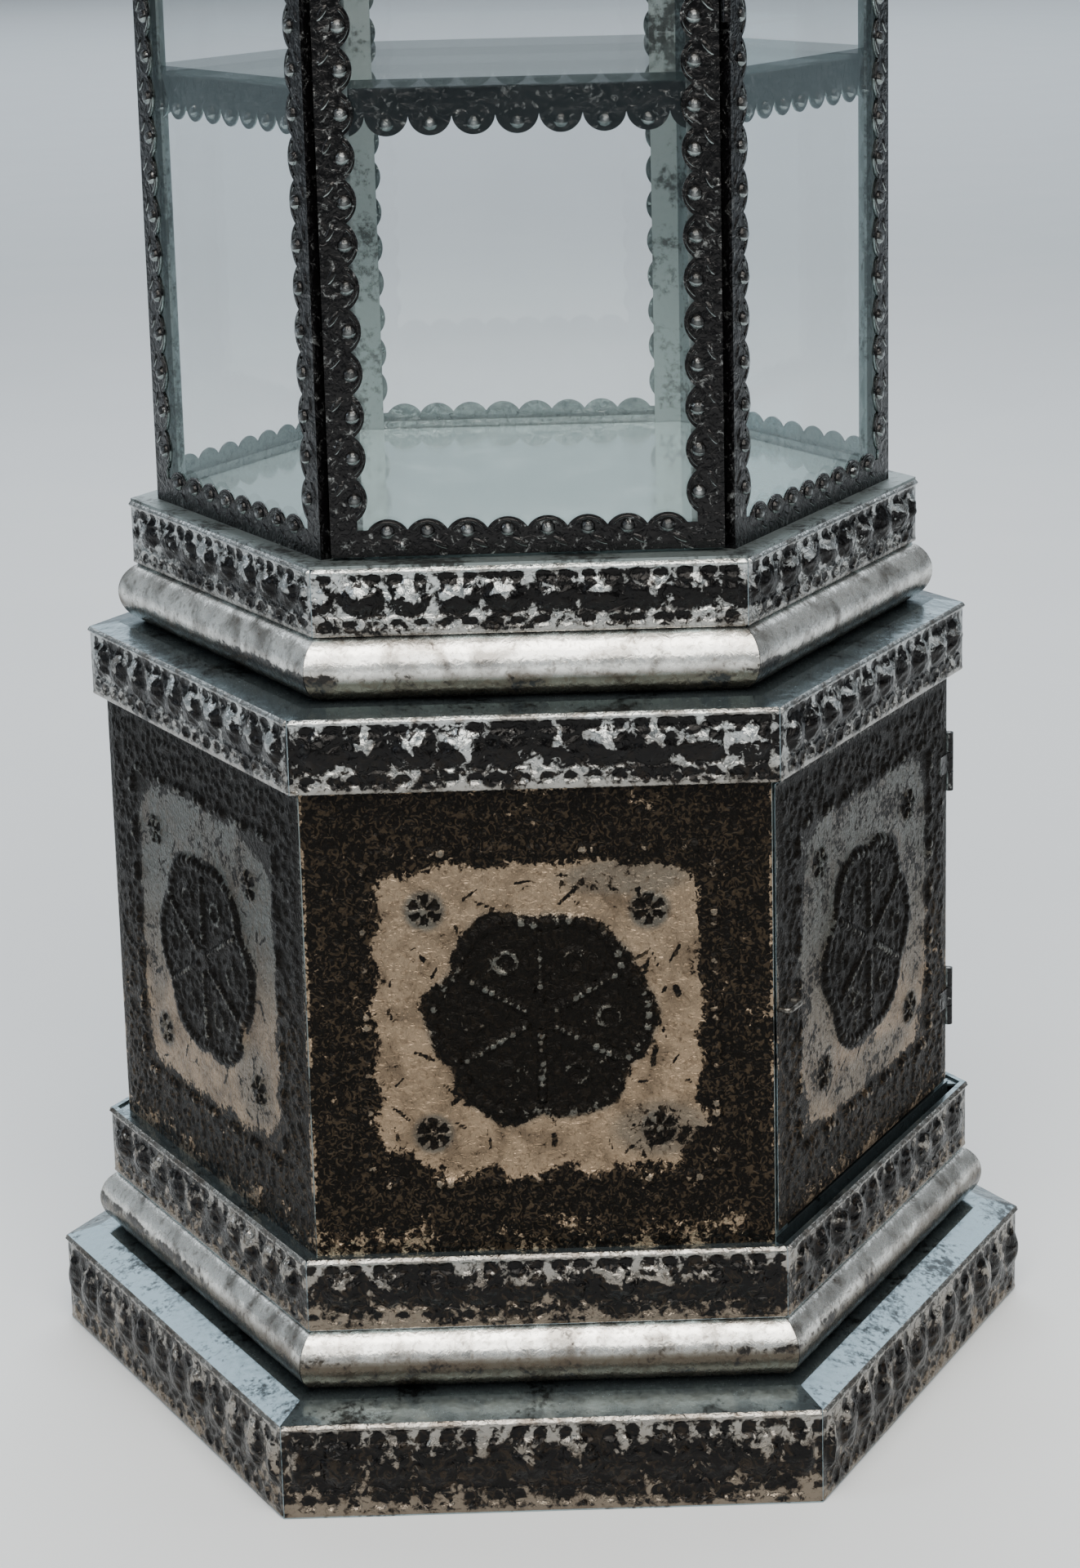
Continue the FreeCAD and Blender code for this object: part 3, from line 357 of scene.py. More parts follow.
# %% Finish: glass
def thin_glass(name, cut_edges, mirror_share):
    """Clear glass. mirror_share is what it mirrors at the flattest slant."""
    material, tree, surface, place = finish(name)
    slant = add(tree, "ShaderNodeLayerWeight", {"Blend": 0.5}, "Facing")
    steep = add(tree, MATHS, {0: slant, 1: 5.0}, operation="POWER")
    mirrored = add(tree, SPREAD, {"Value": steep, "To Min": 0.05, "To Max": mirror_share})
    dust = add(tree, NOISE, {"Vector": place, "Scale": blotches(14), "Detail": 4.0})
    dust = add(tree, SPREAD, {"Value": dust, "From Min": 0.4, "From Max": 0.8,
                              "To Min": 0.01, "To Max": 0.03})
    clear = add(tree, MATHS, {0: mirrored, 1: dust}, operation="ADD")
    surface["Base Color"].default_value = linear("#D6E8E8")
    if cut_edges:
        facing = add(tree, "ShaderNodeTexCoord", give="Normal")
        upward = add(tree, "ShaderNodeSeparateXYZ", {"Vector": facing}, "Z")
        upward = add(tree, MATHS, {0: upward}, operation="ABSOLUTE")
        edge = add(tree, SPREAD, {"Value": upward, "From Min": 0.6, "From Max": 0.4})
        haze = add(tree, SPREAD, {"Value": edge, "To Max": 0.6})
        clear = add(tree, MATHS, {0: clear, 1: haze}, operation="MAXIMUM")
        green = add(tree, MIX, {"Factor": edge, FIRST: linear("#F0F7F5"),
                                SECOND: linear("#3E504B")}, MIXED, data_type="RGBA")
        tree.links.new(green, surface["Base Color"])
    tree.links.new(clear, surface["Alpha"])
    surface["Metallic"].default_value = 1.0
    surface["Roughness"].default_value = 0.02
    print("finish:", name)
    return material


PANE = thin_glass("window glass", False, 0.9)
SHELF = thin_glass("plate glass, cut edges", True, 1.0)

# %% [markdown]
# ### Mirror and floor
# The lantern's floor is silvered glass whose silver has bloomed: cloudy in
# places, and paler than a new mirror. The studio floor is matt paint with a
# faint wash. Both could be one flat value, which looks like plastic.

# %% Finish: mirror and floor
SILVERED, tree, surface, place = finish("silvered mirror glass")
surface["Base Color"].default_value = linear("#D8EEEE")
surface["Metallic"].default_value = 0.7
bloom = add(tree, NOISE, {"Vector": place, "Scale": blotches(12), "Detail": 4.0})
bloom = add(tree, SPREAD, {"Value": bloom, "From Min": 0.45, "From Max": 0.8,
                           "To Min": 0.06, "To Max": 0.25})
tree.links.new(bloom, surface["Roughness"])
FLOOR, tree, surface, place = finish("pale painted floor")
wash = add(tree, NOISE, {"Vector": place, "Scale": blotches(60), "Detail": 4.0})
wash = add(tree, MIX, {"Factor": wash, FIRST: linear("#D2D6D9"), SECOND: linear("#D9DCDE")},
           MIXED, data_type="RGBA")
tree.links.new(wash, surface["Base Color"])
surface["Roughness"].default_value = 0.75
floor.data.materials.append(FLOOR)
print("finishes:", len(bpy.data.materials))

# %% [markdown]
# ## Dress the solids
# Every folded piece gets its finish. A list of all of them by name would be long
# and easy to get wrong. The names tell what the pieces are, so the ends and
# starts of the names decide, and plain folded tin is left for the rest.

# %% Dress the solids
def dress(name):
    """The finish of a solid, by its name."""
    if name == "mirror_floor":
        return SILVERED
    if name.endswith("_shelf"):
        return SHELF
    if name.startswith("glass_") or name.endswith("_glass"):
        return PANE
    if name.startswith("frame_") or name.endswith(("_door_frame", "_valance", "_tabs")):
        return STRIP_TIN
    if name.endswith(("_pull", "_pins")):
        return WIRE
    if name.endswith("_torus") or name in ("finial", "roof_ridges", "roof_cap"):
        return MOULDING_TIN
    if name.startswith("drum_panel") or name.endswith(("_posts", "_plate", "_deck")):
        return INNER_TIN
    return FOLD_TIN


for name, solid in nodes.items():
    solid.data.materials.clear()
    solid.data.materials.append(dress(name))
print("solids of plain folded tin:", [name for name in nodes if dress(name) is FOLD_TIN])

# %% [markdown]
# ## Pressed skins
# Embossed tin is a flat sheet pushed into a die. Sculpting or a displacement
# picture could give the relief, but here a grid is the sheet: one is added for
# each side, and a function of the place along the strip and across it, the die,
# says how far each point is pushed out and how black it stays. The six sides of
# a moulding meet on mitres, so a point that lies further out also lies further
# along. The skin sits a little proud of the plain solid under it.

# %% Pressed skins: helpers
LIFT = 0.12


def smooth(value, low, high):
    """A soft step from 0 at low to 1 at high."""
    t = np.clip((value - low) / (high - low), 0, 1)
    return t * t * (3 - 2 * t)


def turned(sideways, reach, height, turn):
    """Points on a side of the hexagon, in metres. That side is turned from the front."""
    c, s = math.cos(math.radians(turn)), math.sin(math.radians(turn))
    return np.stack((sideways * c + reach * s, sideways * s - reach * c, height), axis=1) * MM


def select_only(*pieces):
    """Deselects everything, then selects the pieces and makes the first one active."""
    bpy.ops.object.select_all(action="DESELECT")
    for piece in pieces:
        piece.select_set(True)
    bpy.context.view_layer.objects.active = pieces[0]


print("a skin's lift in millimetres:", LIFT)

# %% Pressed skins: the sheet
CREASE_ANGLE = math.radians(50)


def pressed_sheet(name, columns, rows, form, tin, body, turns):
    """A grid whose points go where form says, for each side's turn, joined into one piece.

    form takes arrays from -1 to 1 and from 0 to 1 and the side's number. It returns the
    apothem, the place sideways and the height in millimetres, then patina and warmth."""
    sheets = []
    for side, turn in enumerate(turns):
        bpy.ops.object.select_all(action="DESELECT")
        bpy.ops.mesh.primitive_grid_add(x_subdivisions=columns, y_subdivisions=rows, size=2)
        sheet = bpy.context.object
        sheet.name = name
        mesh = sheet.data
        flat = np.zeros(len(mesh.vertices) * 3)
        mesh.vertices.foreach_get("co", flat)
        flat = flat.reshape(-1, 3)
        reach, sideways, height, patina, warmth = form(flat[:, 0], (flat[:, 1] + 1) / 2, side)
        mesh.vertices.foreach_set("co", turned(sideways, reach, height, turn).ravel())
        for label, values in (("patina", patina), ("warmth", warmth)):
            layer = mesh.attributes.new(label, "FLOAT", "POINT")
            layer.data.foreach_set("value", values.astype(np.float32))
        mesh.materials.append(tin)
        sheets.append(sheet)
    select_only(*sheets)
    if len(sheets) > 1:
        bpy.ops.object.join()
    bpy.ops.object.shade_smooth_by_angle(angle=CREASE_ANGLE)
    piece = bpy.context.object
    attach(piece, body)
    print(name, "faces:", len(piece.data.polygons))
    return piece


# %% [markdown]
# ### The embossed bands
# All bands share one stamp about half an inch long: a big boss like a flower
# between two rows of small cups, with a bright folded hem along the top edge.
# The bosses are sunk in black film, partly painted shade, and a torn bare patch on each boss's upper
# side is a painted highlight. One stamp copied along the strip would look machine-made, so every stamp
# gets its own sway, depth and highlight from a seeded list.

# %% Embossed bands: sizes of the die
MITRE = 0.15
STAMPS = 40  # more than one side holds


def oval(along, across, middle, wide, tall):
    """Distance from an oval's middle, 1 at its edge."""
    return np.hypot(along / wide, (across - middle) / tall)


print("a stamp list for", STAMPS, "stamps on each side")


# %% Embossed bands: the die
def band_die(foot, head, outer, pitch, seed, gleam, warm):
    """The die of one band, from its levels, its apothem and its stamp's pitch.

    gleam says how strong the painted highlight on the bosses is, and warm how tan the bare tin has
    gone."""
    width = head - foot
    half = outer * SIDE - MITRE
    rng = np.random.default_rng(seed)
    sways = rng.uniform(-0.9, 0.9, (6, STAMPS))
    depths = rng.uniform(0.7, 1.1, (6, STAMPS))
    cap_highlights = rng.uniform(0.1, 1.0, (6, STAMPS)) * gleam
    stains = rng.uniform(0.1, 0.9, (6, 2 * STAMPS))

    def relief(cell, across, boss, high, low, sway, depth):
        """How far the stamp stands out: the creased boss, the cups and their brims."""
        bulge = 2.2 * depth * np.clip(1 - boss ** 2, 0, 1)
        crease = 0.28 * np.cos(7 * np.arctan2(across - 0.56 * width, cell) + 5 * sway)
        bulge = bulge + crease * np.exp(-((boss - 0.75) / 0.3) ** 2)
        cups = 0.75 * (1 - smooth(high, 0.3, 1.1)) + 0.75 * (1 - smooth(low, 0.3, 1.1))
        brim = 0.5 * np.exp(-((low - 1.25) / 0.25) ** 2)
        brim = brim + 0.4 * np.exp(-((high - 1.25) / 0.25) ** 2)
        return bulge - 0.8 * cups + brim + 0.25

    def film(cell, across, boss, high, low, sway, depth, rub, mark):
        """Cups and boss dark, partly as painted shade; the boss's torn cap bare, a painted highlight.
        """
        # The film in the cups and across the bosses' middle is partly painted shade of their lower
        # sides.
        middle = np.exp(-((across - 0.50 * width) / (0.27 * width)) ** 4)
        patina = 0.53 + (0.36 + 0.05 * warm) * middle + mark * (1 - smooth(high, 0.5, 1.1))
        # Painted shade and highlight: each lower cup keeps film in its upper part and is bare at the
        # bottom.
        lower = smooth(across, 0.12 * width, 0.19 * width)
        patina = patina + (1 - mark) * (1 - smooth(low, 0.4, 1.1)) * lower
        patina = patina - (0.36 - 0.16 * warm) * smooth(boss, 0.85, 1.25) * middle
        # Painted highlight: a torn bare patch on each boss's upper side.
        bearing = np.arctan2(across - 0.66 * width, cell)
        torn = 1 + 0.35 * np.cos(3 * bearing + 7 * depth) + 0.2 * np.cos(5 * bearing + 9 * sway)
        cap = oval(cell - 1.6 * sway, across, 0.66 * width, 0.27 * pitch, 0.11 * width) * torn
        return patina - 1.1 * rub * (1 - smooth(cap, 0.3, 1.3))

    def form(s, v, side):
        along, across = s * half, v * width
        index = np.floor(along / pitch)
        pick = np.clip(index.astype(int) + STAMPS // 2, 0, STAMPS - 1)
        sway, depth, rub = sways[side][pick], depths[side][pick], cap_highlights[side][pick]
        half_pick = np.floor(2 * along / pitch).astype(int) + STAMPS
        mark = stains[side][np.clip(half_pick, 0, 2 * STAMPS - 1)]
        cell = along - (index + 0.5) * pitch + sway
        half_cell = np.mod(along + 0.5 * sway, pitch / 2) - pitch / 4
        boss = oval(cell, across, 0.56 * width, 0.44 * pitch, 0.27 * width)
        high = oval(half_cell, across, 0.845 * width, 0.165 * pitch, 0.085 * width)
        low = oval(half_cell, across, 0.17 * width, 0.18 * pitch, 0.085 * width)
        ends = smooth(half - np.abs(along), 1.5, 5.0)
        margin = np.minimum(across, width - across)
        press = relief(cell, across, boss, high, low, sway, depth) * ends * smooth(margin, 0.6, 2.0)
        hem = np.exp(-((width - across - 0.9) / 0.7) ** 2) * 0.9
        lip = np.exp(-((across - 0.7) / 0.6) ** 2) * 0.3
        edge = np.minimum(margin, half - np.abs(along))
        reach = outer + (LIFT + np.maximum(press, 0) + hem + lip) * np.clip(edge / 0.35, 0, 1)
        patina = film(cell, across, boss, high, low, sway, depth, rub, mark) * (0.8 + 0.2 * ends)
        patina = patina - 0.7 * smooth(across, width - 1.7, width - 1.0)
        patina = patina - 0.2 * smooth(1.4 - across, 0, 0.8)
        warmth = np.clip(warm + 0.35 - 0.8 * v, 0, 1)
        return reach, along * (reach / outer), foot + across, np.clip(patina, 0, 1), warmth

    return form


# %% Embossed bands: six strips round each moulding
PLINTH_FACE, CORNICE_FACE = 28.5, 21.2  # upright faces, below the sloped tops
BANDS = [  # name, foot's lift, face height, pitch, seed, gleam, warm
    ("plinth_band", 0.4, PLINTH_FACE, 13.0, 3, 0.45, 1.0),
    ("plinth_rim", 0.1, None, 12.6, 5, 0.65, 0.95),
    ("cornice_lower_band", 0, CORNICE_FACE, 12.9, 7, 0.8, 0.25),
    ("cornice_upper_band", 0, None, 13.1, 9, 1.0, 0.15),
    ("crown_lower_band", 0, None, 13.1, 11, 1.0, 0.1),
    ("crown_upper_band", 0, None, 12.9, 13, 0.9, 0.1),
]
for name, lift, face, pitch, seed, gleam, warm in BANDS:
    low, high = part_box(name)
    outer, base = high.y / MM, low.z / MM
    foot = base + lift
    head = base + face if face else high.z / MM
    die = band_die(foot, head, outer, pitch, seed, gleam, warm)
    columns, rows = int(outer * 2 * SIDE / 0.75), int((head - foot) / 0.45)
    band = pressed_sheet(f"{name}_embossing", columns, rows, die, BAND_TIN, "cabinet", ALL_TURNS)

# %% [markdown]
# ### Half-round mouldings
# These were rolled, not pressed, so they are smooth, but a hand-rolled bead is never quite even:
# shallow dents wander along it. A bevelled curve would be too true. So the same grid is bent round the
# bead's half circle, with four slow waves added to its radius. Above a dark line the bead is bright, a
# painted highlight; the dark line, the tan below it and the darker underside are painted shade.

# %% Half-round mouldings
WAVES = (9, 17, 31, 53)


def bead_form(middle, centre, radius, seed, line):
    """The shape of a half-round. line is where along its half circle the painted highlight ends and
    the painted shade begins.
    """
    rng = np.random.default_rng(seed)
    starts = rng.uniform(0, 2 * math.pi, (6, len(WAVES)))

    def form(s, v, side):
        turn = (v - 0.5) * math.pi
        wander = sum(0.10 * np.sin(s * k + starts[side][i] + 2 * turn) for i, k in enumerate(WAVES))
        r = radius + 0.22 + 0.35 * wander
        reach = middle + r * np.cos(turn)
        # Painted shade: a dark line under the bright top, which is a painted highlight, more film on
        # the lower half and most on the underside.
        streak = 0.4 + 0.6 * np.sin(s * 2 + starts[side][0])
        patina = 0.16 + 0.55 * np.exp(-((v - line) / 0.05) ** 2) * streak
        patina = patina + 0.5 * (1 - smooth(v, 0.06, 0.2))
        patina = patina + 0.2 * (1 - smooth(v, line - 0.1, line + 0.05))
        # Painted shade: the lower half of the bead is tan.
        warmth = 1 - smooth(v, line - 0.05, line + 0.08)
        return reach, s * (reach * SIDE - 0.1), centre + r * np.sin(turn), patina, warmth

    return form


BEADS = [("plinth_torus", 21, 0.56), ("cornice_torus", 23, 0.44), ("crown_torus", 25, 0.44)]
for name, seed, line in BEADS:
    low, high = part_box(name)
    radius = (high.z - low.z) / 2 / MM
    form = bead_form(high.y / MM - radius, (low.z + high.z) / 2 / MM, radius, seed, line)
    bead = pressed_sheet(f"{name}_rolled", 110, 28, form, ROLLED_TIN, "cabinet", ALL_TURNS)

# %% [markdown]
# ### The drum's panels
# Each panel has a rubbed tan square with a black medallion in its middle, a
# six-spoked rosette in each corner, studs along the border and a punched
# ground outside. The medallion is ringed with beads and crossed by beaded rays.
# All of it was struck with a few small punches, so the lesson does the same:
# first it lists where each punch fell, then it presses them into the sheet.

# %% Panel die: the punches
LOBE, LOBE_REACH = 26.6, 3.6  # the medallion's edge and how far its lobes swell


def beads(x, z, places, radius, height, rng):
    """Small round beads: how far they stand out, and how bare their tops are rubbed."""
    press = np.zeros_like(x)
    shine = np.zeros_like(x)
    for px, pz in places:
        rub = rng.uniform(0.35, 1.05)
        near = (np.abs(x - px) < radius) & (np.abs(z - pz) < radius)
        if near.any():
            d = np.hypot(x[near] - px, z[near] - pz) / radius
            press[near] = np.maximum(press[near], height * np.sqrt(np.clip(1 - d ** 2, 0, 1)))
            shine[near] = np.maximum(shine[near], rub * (1 - smooth(d, 0.35, 0.85)))
    return press, shine


def ring_place(radius, angle):
    """A place on the panel, from the medallion's middle."""
    return radius * math.cos(angle), radius * math.sin(angle)


lobe_angles = np.linspace(0, 2 * math.pi, 54, endpoint=False)
RIM = [ring_place(LOBE + LOBE_REACH * abs(math.cos(3 * a)), a) for a in lobe_angles]
RAYS = [ring_place(r, a) for a in np.radians(np.arange(30, 390, 60)) for r in np.arange(5, 26, 2.1)]
BOSSES = [ring_place(19.0, a) for a in np.radians(np.arange(0, 360, 60))]
STUD_LINE = 48.5
STUDS = []
for t in np.arange(-42, 43, 14):
    for dx in (-1.5, 1.5):
        STUDS += [(t + dx, STUD_LINE), (t + dx, -STUD_LINE), (STUD_LINE, t + dx), (-STUD_LINE, t + dx)]
print("punches in the pattern:", len(RIM) + len(RAYS) + len(BOSSES) + len(STUDS))


# %% Panel die: rosettes, scratches and smears
ROSETTE = 5.0


def rosettes(x, z, stars, press, patina):
    """Six-spoked rosettes with a grey halo: the new relief, the new film, and the halos."""
    grey = np.zeros_like(x)
    for sx, sz in stars:
        d = np.hypot(x - sx, z - sz)
        spoke = np.cos(6 * np.arctan2(z - sz, x - sx))
        inside = 1 - smooth(d, 4.3, ROSETTE)
        wedge = inside * smooth(0.6 - spoke, 0.0, 0.35) * smooth(d, 0.7, 1.3)
        halo = 1 - smooth(d, 4.8, 7.0)
        press = press + inside * 0.6 - 0.7 * wedge
        patina = np.maximum(np.maximum(patina * (1 - inside), wedge), 0.3 * halo)
        grey = np.maximum(grey, 0.8 * halo)
    return press, patina, grey


def scratched(x, z, scratches, patina):
    """Short dark scratches, each a line with a soft edge."""
    for sx, sz, dx, dz, wide in scratches:
        near = (np.abs(x - sx) < 4) & (np.abs(z - sz) < 4)
        run = ((x[near] - sx) * dx + (z[near] - sz) * dz) / (dx * dx + dz * dz)
        t = np.clip(run, -1, 1)
        gap = np.hypot(x[near] - sx - t * dx, z[near] - sz - t * dz)
        line = 0.85 * (1 - smooth(gap, 0.3 * wide, 1.3 * wide))
        patina[near] = np.maximum(patina[near], line)
    return patina


def smear_and_shade(x, z, smears_and_shade, patina, grey):
    """Wide darker, greyer patches on the bare square: smears of film left on it, and on the door
    painted shade.
    """
    for sx, sz, wide, tall, depth in smears_and_shade:
        patch = np.clip(1.3 - np.hypot((x - sx) / wide, (z - sz) / tall), 0, 1)
        patina = np.maximum(patina, depth * smooth(patch, 0, 0.6))
        grey = np.maximum(grey, 0.55 * smooth(patch, 0, 0.5))
    return patina, grey


print("a rosette is", 2 * ROSETTE, "mm across")


# %% Panel die: what falls by chance
GROUND_PUNCHES, SCRATCHES = 2600, 90


def chance_marks(rng, left, right_edge, low, high):
    """What falls by chance on a panel: rosettes, ground punches, ragged edges, scratches."""
    stars = [(sx * 32 + rng.uniform(-1.5, 1.5), sz * 32 + rng.uniform(-2, 2))
             for sx in (-1, 1) for sz in (-1, 1)]
    ground = [(rng.uniform(left, right_edge), rng.uniform(low, high)) for _ in range(GROUND_PUNCHES)]
    ground = [(x, z) for x, z in ground if max(abs(x), abs(z)) > 47 or math.hypot(x, z) < 27]
    ragged = rng.uniform(0, 2 * math.pi, 8)
    scratches = []
    for _ in range(SCRATCHES):
        sx, sz, turn = rng.uniform(-42, 42), rng.uniform(-42, 42), rng.uniform(0, math.pi)
        dx, dz = ring_place(rng.uniform(1.0, 3.2), turn)
        scratches.append((sx, sz, dx, dz, rng.uniform(0.35, 0.8)))
    return stars, ground, ragged, scratches


print("punches in a panel's ground:", GROUND_PUNCHES, "and scratches:", SCRATCHES)


# %% Panel die: one panel
def panel_die(left, right_edge, foot, head, centre, outer, seed, reflected_grey, smears_and_shade=()):
    """The die of one panel, in millimetres on its face: x sideways, z up from the medallion.

    The number after the seed says how grey the upper half of the square is, a painted reflection."""
    rng = np.random.default_rng(seed)
    low, high = foot - centre, head - centre
    stars, ground_punches, ragged, scratches = chance_marks(rng, left, right_edge, low, high)
    punches = [  # places, radius, height, how far the tops are rubbed
        (RIM, 1.9, 1.1, 0.6), (RAYS, 1.35, 1.2, 1.0),
        (STUDS, 1.8, 1.2, 0.7), (ground_punches, 1.3, 0.55, 0.0),
    ]

    def form(s, v, side):
        x = left + (s + 1) / 2 * (right_edge - left)
        z = foot + v * (head - foot) - centre
        radius, angle = np.hypot(x, z), np.arctan2(z, x)
        press, shine = np.zeros_like(x), np.zeros_like(x)
        for places, size, height, share in punches:
            raised, bare = beads(x, z, places, size, height, rng)
            press = np.maximum(press, raised)
            shine = np.maximum(shine, share * bare)
        for bx, bz in BOSSES:
            ring = np.exp(-((np.hypot(x - bx, z - bz) - 3.0) / 0.9) ** 2)
            press = np.maximum(press, 0.95 * ring)
            shine = np.maximum(shine, 0.5 * ring)
        press = np.maximum(press, 0.8 * np.sqrt(np.clip(1 - (radius / 3.4) ** 2, 0, 1)))
        wave = sum(np.sin(angle * k + ragged[i]) for i, k in enumerate((3, 5, 8, 13)))
        lobes = LOBE + LOBE_REACH * np.abs(np.cos(3 * angle)) + 0.45 * wave
        medallion = 1 - smooth(radius, lobes + 0.6, lobes + 4.2)
        ripple = 0.9 * np.sin(x * 0.31 + ragged[4]) + 0.9 * np.sin(z * 0.37 + ragged[5])
        square = (np.abs(x / 46) ** 6 + np.abs(z / 46) ** 6) ** (1 / 6) * 46 + ripple
        worn = 0.35 * (1 - smooth(z, -66, -54)) + 0.15 * smooth(z, 50, 64)
        patina = np.maximum(medallion, (0.95 - worn) * smooth(square, 41.5, 49.5)) + 0.12
        patina = scratched(x, z, scratches, patina * (1 - 0.95 * shine))
        press, patina, grey = rosettes(x, z, stars, press, patina)
        patina, grey = smear_and_shade(x, z, smears_and_shade, patina, grey)
        press = press + 0.55 * np.sqrt(np.clip(1 - (radius / 31.5) ** 2, 0, 1))
        edge = np.minimum(np.minimum(x - left, right_edge - x), np.minimum(z - low, high - z))
        reach = outer + (LIFT + press * smooth(edge, 1.2, 5.0)) * np.clip(edge / 0.4, 0, 1)
        patina = np.where(edge < 0.8, 0.62, patina)
        # Painted reflection: the square turns greyer towards the top.
        warmth = np.clip(0.9 - reflected_grey * smooth(z, -30, 25), 0, 1)
        warmth = warmth * (1 - shine) * (1 - grey) * (1 - 0.85 * medallion)
        return reach, x, z + centre, np.clip(patina, 0, 1), warmth

    return form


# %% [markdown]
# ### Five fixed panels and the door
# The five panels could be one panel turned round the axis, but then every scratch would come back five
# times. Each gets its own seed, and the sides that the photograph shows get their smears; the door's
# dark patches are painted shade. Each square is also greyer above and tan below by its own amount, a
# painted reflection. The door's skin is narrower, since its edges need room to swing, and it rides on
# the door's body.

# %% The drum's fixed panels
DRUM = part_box("drum_panel_front")
DRUM_FACE = -DRUM[0].y / MM
RIM_COVER = 19.5  # the panels' foot that stands behind the rim
DRUM_FOOT, DRUM_HEAD = DRUM[0].z / MM + RIM_COVER, DRUM[1].z / MM
DRUM_CENTRE = 140.0
HALF = DRUM_FACE * SIDE
SEAM, HINGE_ROOM = 0.2, 2.1
# The last column says how grey each square's upper half is, a painted reflection.
PANELS = [  # name, turn, seed, cool
    ("drum_panel_front", 0, 31, 0.15),
    ("drum_panel_back_right", 120, 33, 0.7),
    ("drum_panel_back", 180, 35, 0.3),
    ("drum_panel_back_left", 240, 37, 0.7),
    ("drum_panel_front_left", 300, 39, 0.95),
]
SMEARS = {  # x, z, half width, half height, depth
    "drum_panel_front": [(33, -34, 13, 8, 0.42), (24, 40, 17, 5, 0.36)],
    "drum_panel_front_left": [(-36, 6, 9, 30, 0.4), (10, 38, 26, 7, 0.4), (30, -30, 12, 12, 0.38)],
}
for name, turn, seed, reflected_grey in PANELS:
    left = -HALF + (HINGE_ROOM if name == "drum_panel_back_right" else SEAM)
    die = panel_die(left, HALF - SEAM, DRUM_FOOT, DRUM_HEAD - 0.1, DRUM_CENTRE, DRUM_FACE,
                    seed, reflected_grey, SMEARS.get(name, ()))
    panel = pressed_sheet(f"{name}_embossing", 190, 200, die, PANEL_TIN, "cabinet", [turn])

# %% The drum's door
LATCH_EDGE, HINGE_EDGE, DOOR_END = 1.8, 2.05, 0.05
# Painted shade: the door's dark, grey patches stand for the shade that falls on it.
DOOR_SHADE = [(-34, 0, 14, 40, 0.46), (4, 38, 44, 10, 0.46), (36, 8, 10, 34, 0.44),
               (0, -40, 30, 6, 0.4)]
low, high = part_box("drum_door_panel")
die = panel_die(-HALF + LATCH_EDGE, HALF - HINGE_EDGE, low.z / MM + DOOR_END,
                high.z / MM - DOOR_END, DRUM_CENTRE, DRUM_FACE, 41, 0.85, DOOR_SHADE)
door = pressed_sheet("drum_door_embossing", 190, 200, die, PANEL_TIN, "drum_door", [60])

# %% [markdown]
# ### The roof
# The photograph stops below the roof, so its pattern is a quiet relative of the
# drum's: a six-petal flower on each slope, a beaded line inside the hips and
# eaves, and film kept between them. The flat skin could be pressed first and
# tilted afterwards. Here the slope is measured on the solid, and a point that is
# pushed out moves along the slope's own normal, both outwards and up.

# %% The roof: its slope
SLOPES = [f for f in nodes["roof_panels"].data.polygons
          if f.normal.y < -0.3 and abs(f.normal.x) < 0.01 and f.normal.z > 0.3]
SLOPE_FACE = max(SLOPES, key=lambda f: f.area * (f.normal.dot(f.center) > 0))
OUT, UP = -SLOPE_FACE.normal.y, SLOPE_FACE.normal.z
SLOPE_DISTANCE = max(f.normal.dot(f.center) for f in SLOPES) / MM
low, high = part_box("roof_panels")
ROOF_FOOT, ROOF_HEAD = low.z / MM + 0.5, high.z / MM - 0.5
EAVES, TOP_EDGE = ((SLOPE_DISTANCE - UP * z) / OUT for z in (ROOF_FOOT, ROOF_HEAD))
SLOPE = math.hypot(EAVES - TOP_EDGE, ROOF_HEAD - ROOF_FOOT)
print("roof slope from apothem", round(EAVES, 2), "to", round(TOP_EDGE, 2))

# %% The roof: its skin
FLOWER = 42  # the flower's middle, up the slope from the eaves
BEAD_STEP = 3.4
bead_line = []
for step in np.arange(9, SLOPE - 14, BEAD_STEP):
    wide = (EAVES + (TOP_EDGE - EAVES) * step / SLOPE) * SIDE - 9.5
    bead_line += [(wide, step), (-wide, step)]
bead_line += [(t, 7.5) for t in np.arange(-EAVES * SIDE + 14, EAVES * SIDE - 13, BEAD_STEP)]


def roof_form(s, v, side):
    """The die of one slope of the roof."""
    rng = np.random.default_rng(61 + side)
    run = v * SLOPE
    apothem = EAVES + (TOP_EDGE - EAVES) * v
    half = apothem * SIDE
    x = s * (half - 0.6)
    hip = (half - np.abs(x)) * 0.87
    radius = np.hypot(x, run - FLOWER)
    lobes = np.abs(np.cos(3 * np.arctan2(run - FLOWER, x)))
    petals = 13.5 + 5.5 * lobes
    press = 1.1 * np.clip(1 - (radius / petals) ** 2, 0, 1) * (0.45 + 0.55 * lobes)
    press = np.maximum(press, 1.3 * np.sqrt(np.clip(1 - (radius / 4.0) ** 2, 0, 1)))
    raised, bare = beads(x, run, bead_line, 1.5, 0.9, rng)
    press = np.maximum(press, raised)
    field = smooth(hip, 8.0, 11.0) * smooth(run, 8.0, 12.0)
    patina = 0.62 - 0.30 * field + 0.45 * np.exp(-((radius - petals - 1.0) / 2.4) ** 2) - 0.5 * bare
    patina = patina + 0.4 * np.exp(-((hip - 8.0) / 2.0) ** 2) + 0.3 * (1 - smooth(run, 6, 12))
    edge = np.minimum(np.minimum(run, SLOPE - run), hip)
    out = (LIFT + press * smooth(hip, 3.0, 5.0)) * np.clip(edge / 0.4, 0, 1)
    height = ROOF_FOOT + (ROOF_HEAD - ROOF_FOOT) * v + out * UP
    return apothem + out * OUT, x, height, np.clip(patina, 0, 1), np.full_like(x, 0.15)


